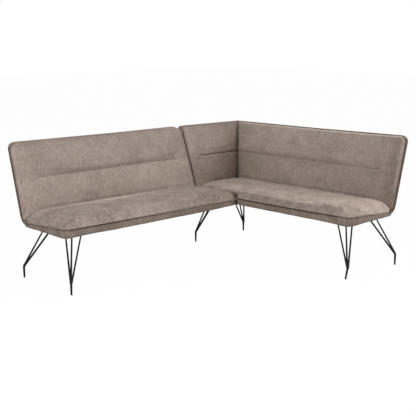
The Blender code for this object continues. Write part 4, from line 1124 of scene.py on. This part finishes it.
def dress_nodes():
    """Give every node that still shows its own material."""
    coat = powder_coat()
    wood = grained_wood()
    webbing = dark_cloth("elastic_webbing", (0.020, 0.020, 0.022), (0.055, 0.055, 0.06), 900.0)
    under = dark_cloth("non_woven_cloth", (0.012, 0.012, 0.012), (0.035, 0.035, 0.036), 1500.0)
    zinc = zinc_plate()
    for name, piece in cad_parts.items():
        if name.endswith("_glide"):
            material = coat
        elif "rail" in name or "bearer" in name or "board" in name:
            material = wood
        elif "webbing" in name:
            material = webbing
        elif "cloth" in name:
            material = under
        elif "bracket" in name or "joining" in name:
            material = zinc
        else:
            continue
        piece.data.materials.clear()
        piece.data.materials.append(material)
    return coat, zinc, under


def add_floor():
    """A white floor that keeps the bench's shadow and shows as white to the camera."""
    material = bpy.data.materials.new("studio_floor")
    material.use_nodes = True
    tree = material.node_tree
    tree.nodes.remove(tree.nodes["Principled BSDF"])
    output = tree.nodes["Material Output"]
    matte = add_node(tree, "ShaderNodeBsdfDiffuse")
    matte.inputs["Color"].default_value = (0.86, 0.86, 0.86, 1.0)
    glow = add_node(tree, "ShaderNodeEmission", Strength=1.0)
    path = tree.nodes.new("ShaderNodeLightPath")
    mix = tree.nodes.new("ShaderNodeMixShader")
    share = add_node(tree, "ShaderNodeMath", operation="MULTIPLY")
    share.inputs[1].default_value = FLOOR_GLOW
    tree.links.new(path.outputs["Is Camera Ray"], share.inputs[0])
    tree.links.new(share.outputs[0], mix.inputs["Fac"])
    tree.links.new(matte.outputs[0], mix.inputs[1])
    tree.links.new(glow.outputs[0], mix.inputs[2])
    tree.links.new(mix.outputs[0], output.inputs["Surface"])
    bpy.ops.object.select_all(action="DESELECT")
    bpy.ops.mesh.primitive_plane_add(size=FLOOR_SIZE, location=(0.0, 0.0, 0.0))
    floor = bpy.context.active_object
    floor.name = "studio_floor"
    floor.data.materials.append(material)


def add_surround():
    """A world that is white to the camera and in reflections, and lights the bench faintly."""
    world = bpy.data.worlds.new("studio")
    bpy.context.scene.world = world
    world.use_nodes = True
    tree = world.node_tree
    background = tree.nodes["Background"]
    output = tree.nodes["World Output"]
    background.inputs["Color"].default_value = (1.0, 1.0, 1.0, 1.0)
    background.inputs["Strength"].default_value = WORLD_LIGHT
    white = add_node(tree, "ShaderNodeBackground", Strength=1.0)
    white.inputs["Color"].default_value = (1.0, 1.0, 1.0, 1.0)
    path = tree.nodes.new("ShaderNodeLightPath")
    mix = tree.nodes.new("ShaderNodeMixShader")
    either = add_node(tree, "ShaderNodeMath", operation="MAXIMUM")
    tree.links.new(path.outputs["Is Camera Ray"], either.inputs[0])
    tree.links.new(path.outputs["Is Glossy Ray"], either.inputs[1])
    tree.links.new(either.outputs[0], mix.inputs["Fac"])
    tree.links.new(background.outputs[0], mix.inputs[1])
    tree.links.new(white.outputs[0], mix.inputs[2])
    tree.links.new(mix.outputs[0], output.inputs["Surface"])


add_camera()
add_floor()
add_surround()
for name, place, size, power in LAMPS:
    add_softbox(name, place, LAMP_AIM, size, power)
bpy.context.scene.view_settings.view_transform = "Standard"

fabric = chenille("back_chenille", *TAUPE, *BACK_NAP)
seat_fabric = chenille("seat_chenille", *TAUPE, *SEAT_NAP)
band_shaded_fabric = chenille("border_chenille_shaded", *BAND_SHADED_TAUPE, *BAND_NAP)
coat, zinc, under_cloth = dress_nodes()

back_shell("left_back_cover", "left_back_shell", "left", 0.1, 0.8, fabric)
back_shell("return_back_cover", "return_back_shell", "left", 0.3, 0.8, fabric)
back_shell("right_back_cover", "right_back_shell", "right", 0.5, 0.6, fabric)
seat_border("left_seat_band", "left_seat_border", "left", LEFT_FRONT, band_shaded_fabric)
seat = ("left", LEFT_ENDS, LEFT_FRONT, LEFT_SEAT_PAINTED_SHADING)
seat_cushion("left_seat_pad", "left_seat_cushion", *seat, seat_fabric)
seat_border("corner_seat_band", "corner_seat_border", "right", CORNER_FRONT, band_shaded_fabric)
seat = ("right", CORNER_ENDS, CORNER_FRONT, CORNER_SEAT_PAINTED_SHADING)
seat_cushion("corner_seat_pad", "corner_seat_cushion", *seat, seat_fabric)

ends = (left_joint, left_end)
back = ("left", ends, LEFT_CHANNEL, LEFT_BACK_PAINTED_SHADING, LEFT_LOOK)
back_cushion("left_back_pad", "left_back_cushion", *back, fabric)
edge = back_edge("left", ends, BACK_JOINT_RADIUS, BACK_CORNER_RADIUS, LEFT_END)
welt("left_back_welt", edge, BACK_WELT_RADIUS, "left", (0.12, 0.85), "border_fabric", fabric)
ends = (mitre, return_end)
back = ("left", ends, RETURN_CHANNEL, RETURN_BACK_PAINTED_SHADING, RETURN_LOOK)
back_cushion("return_back_pad", "return_back_cushion", *back, fabric)
edge = back_edge("left", ends, 0.0, BACK_JOINT_RADIUS, 0.0)
welt("return_back_welt", edge, BACK_WELT_RADIUS, "left", (0.5, 0.8), "border_fabric", fabric)
ends = (mitre, right_end)
back = ("right", ends, RIGHT_CHANNEL, RIGHT_BACK_PAINTED_SHADING, RIGHT_LOOK)
back_cushion("right_back_pad", "right_back_cushion", *back, fabric)
edge = back_edge("right", ends, 0.0, BACK_CORNER_RADIUS, RIGHT_END)
welt("right_back_welt", edge, BACK_WELT_RADIUS, "right", (0.55, 0.8), "border_fabric", fabric)
edge = seat_edge("left", LEFT_ENDS, LEFT_FRONT, True)
welt("left_seat_welt", edge, SEAT_WELT_RADIUS, "left", (0.0, 0.0), "main_fabric", fabric)
edge = seat_edge("right", (CORNER_WELT_START, RIGHT_END), CORNER_FRONT, False)
welt("corner_seat_welt", edge, SEAT_WELT_RADIUS, "right", (0.0, 0.0), "main_fabric", fabric)

for node in [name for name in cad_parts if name.endswith("_leg")]:
    leg_rods(node[:-4] + "_rods", node, coat)
all_bolts(zinc)
for seat in ("left", "corner"):
    bottom_cloth(seat + "_under_sheet", seat + "_bottom_cloth", under_cloth)
    staples(seat + "_staples", seat + "_bottom_cloth", zinc)
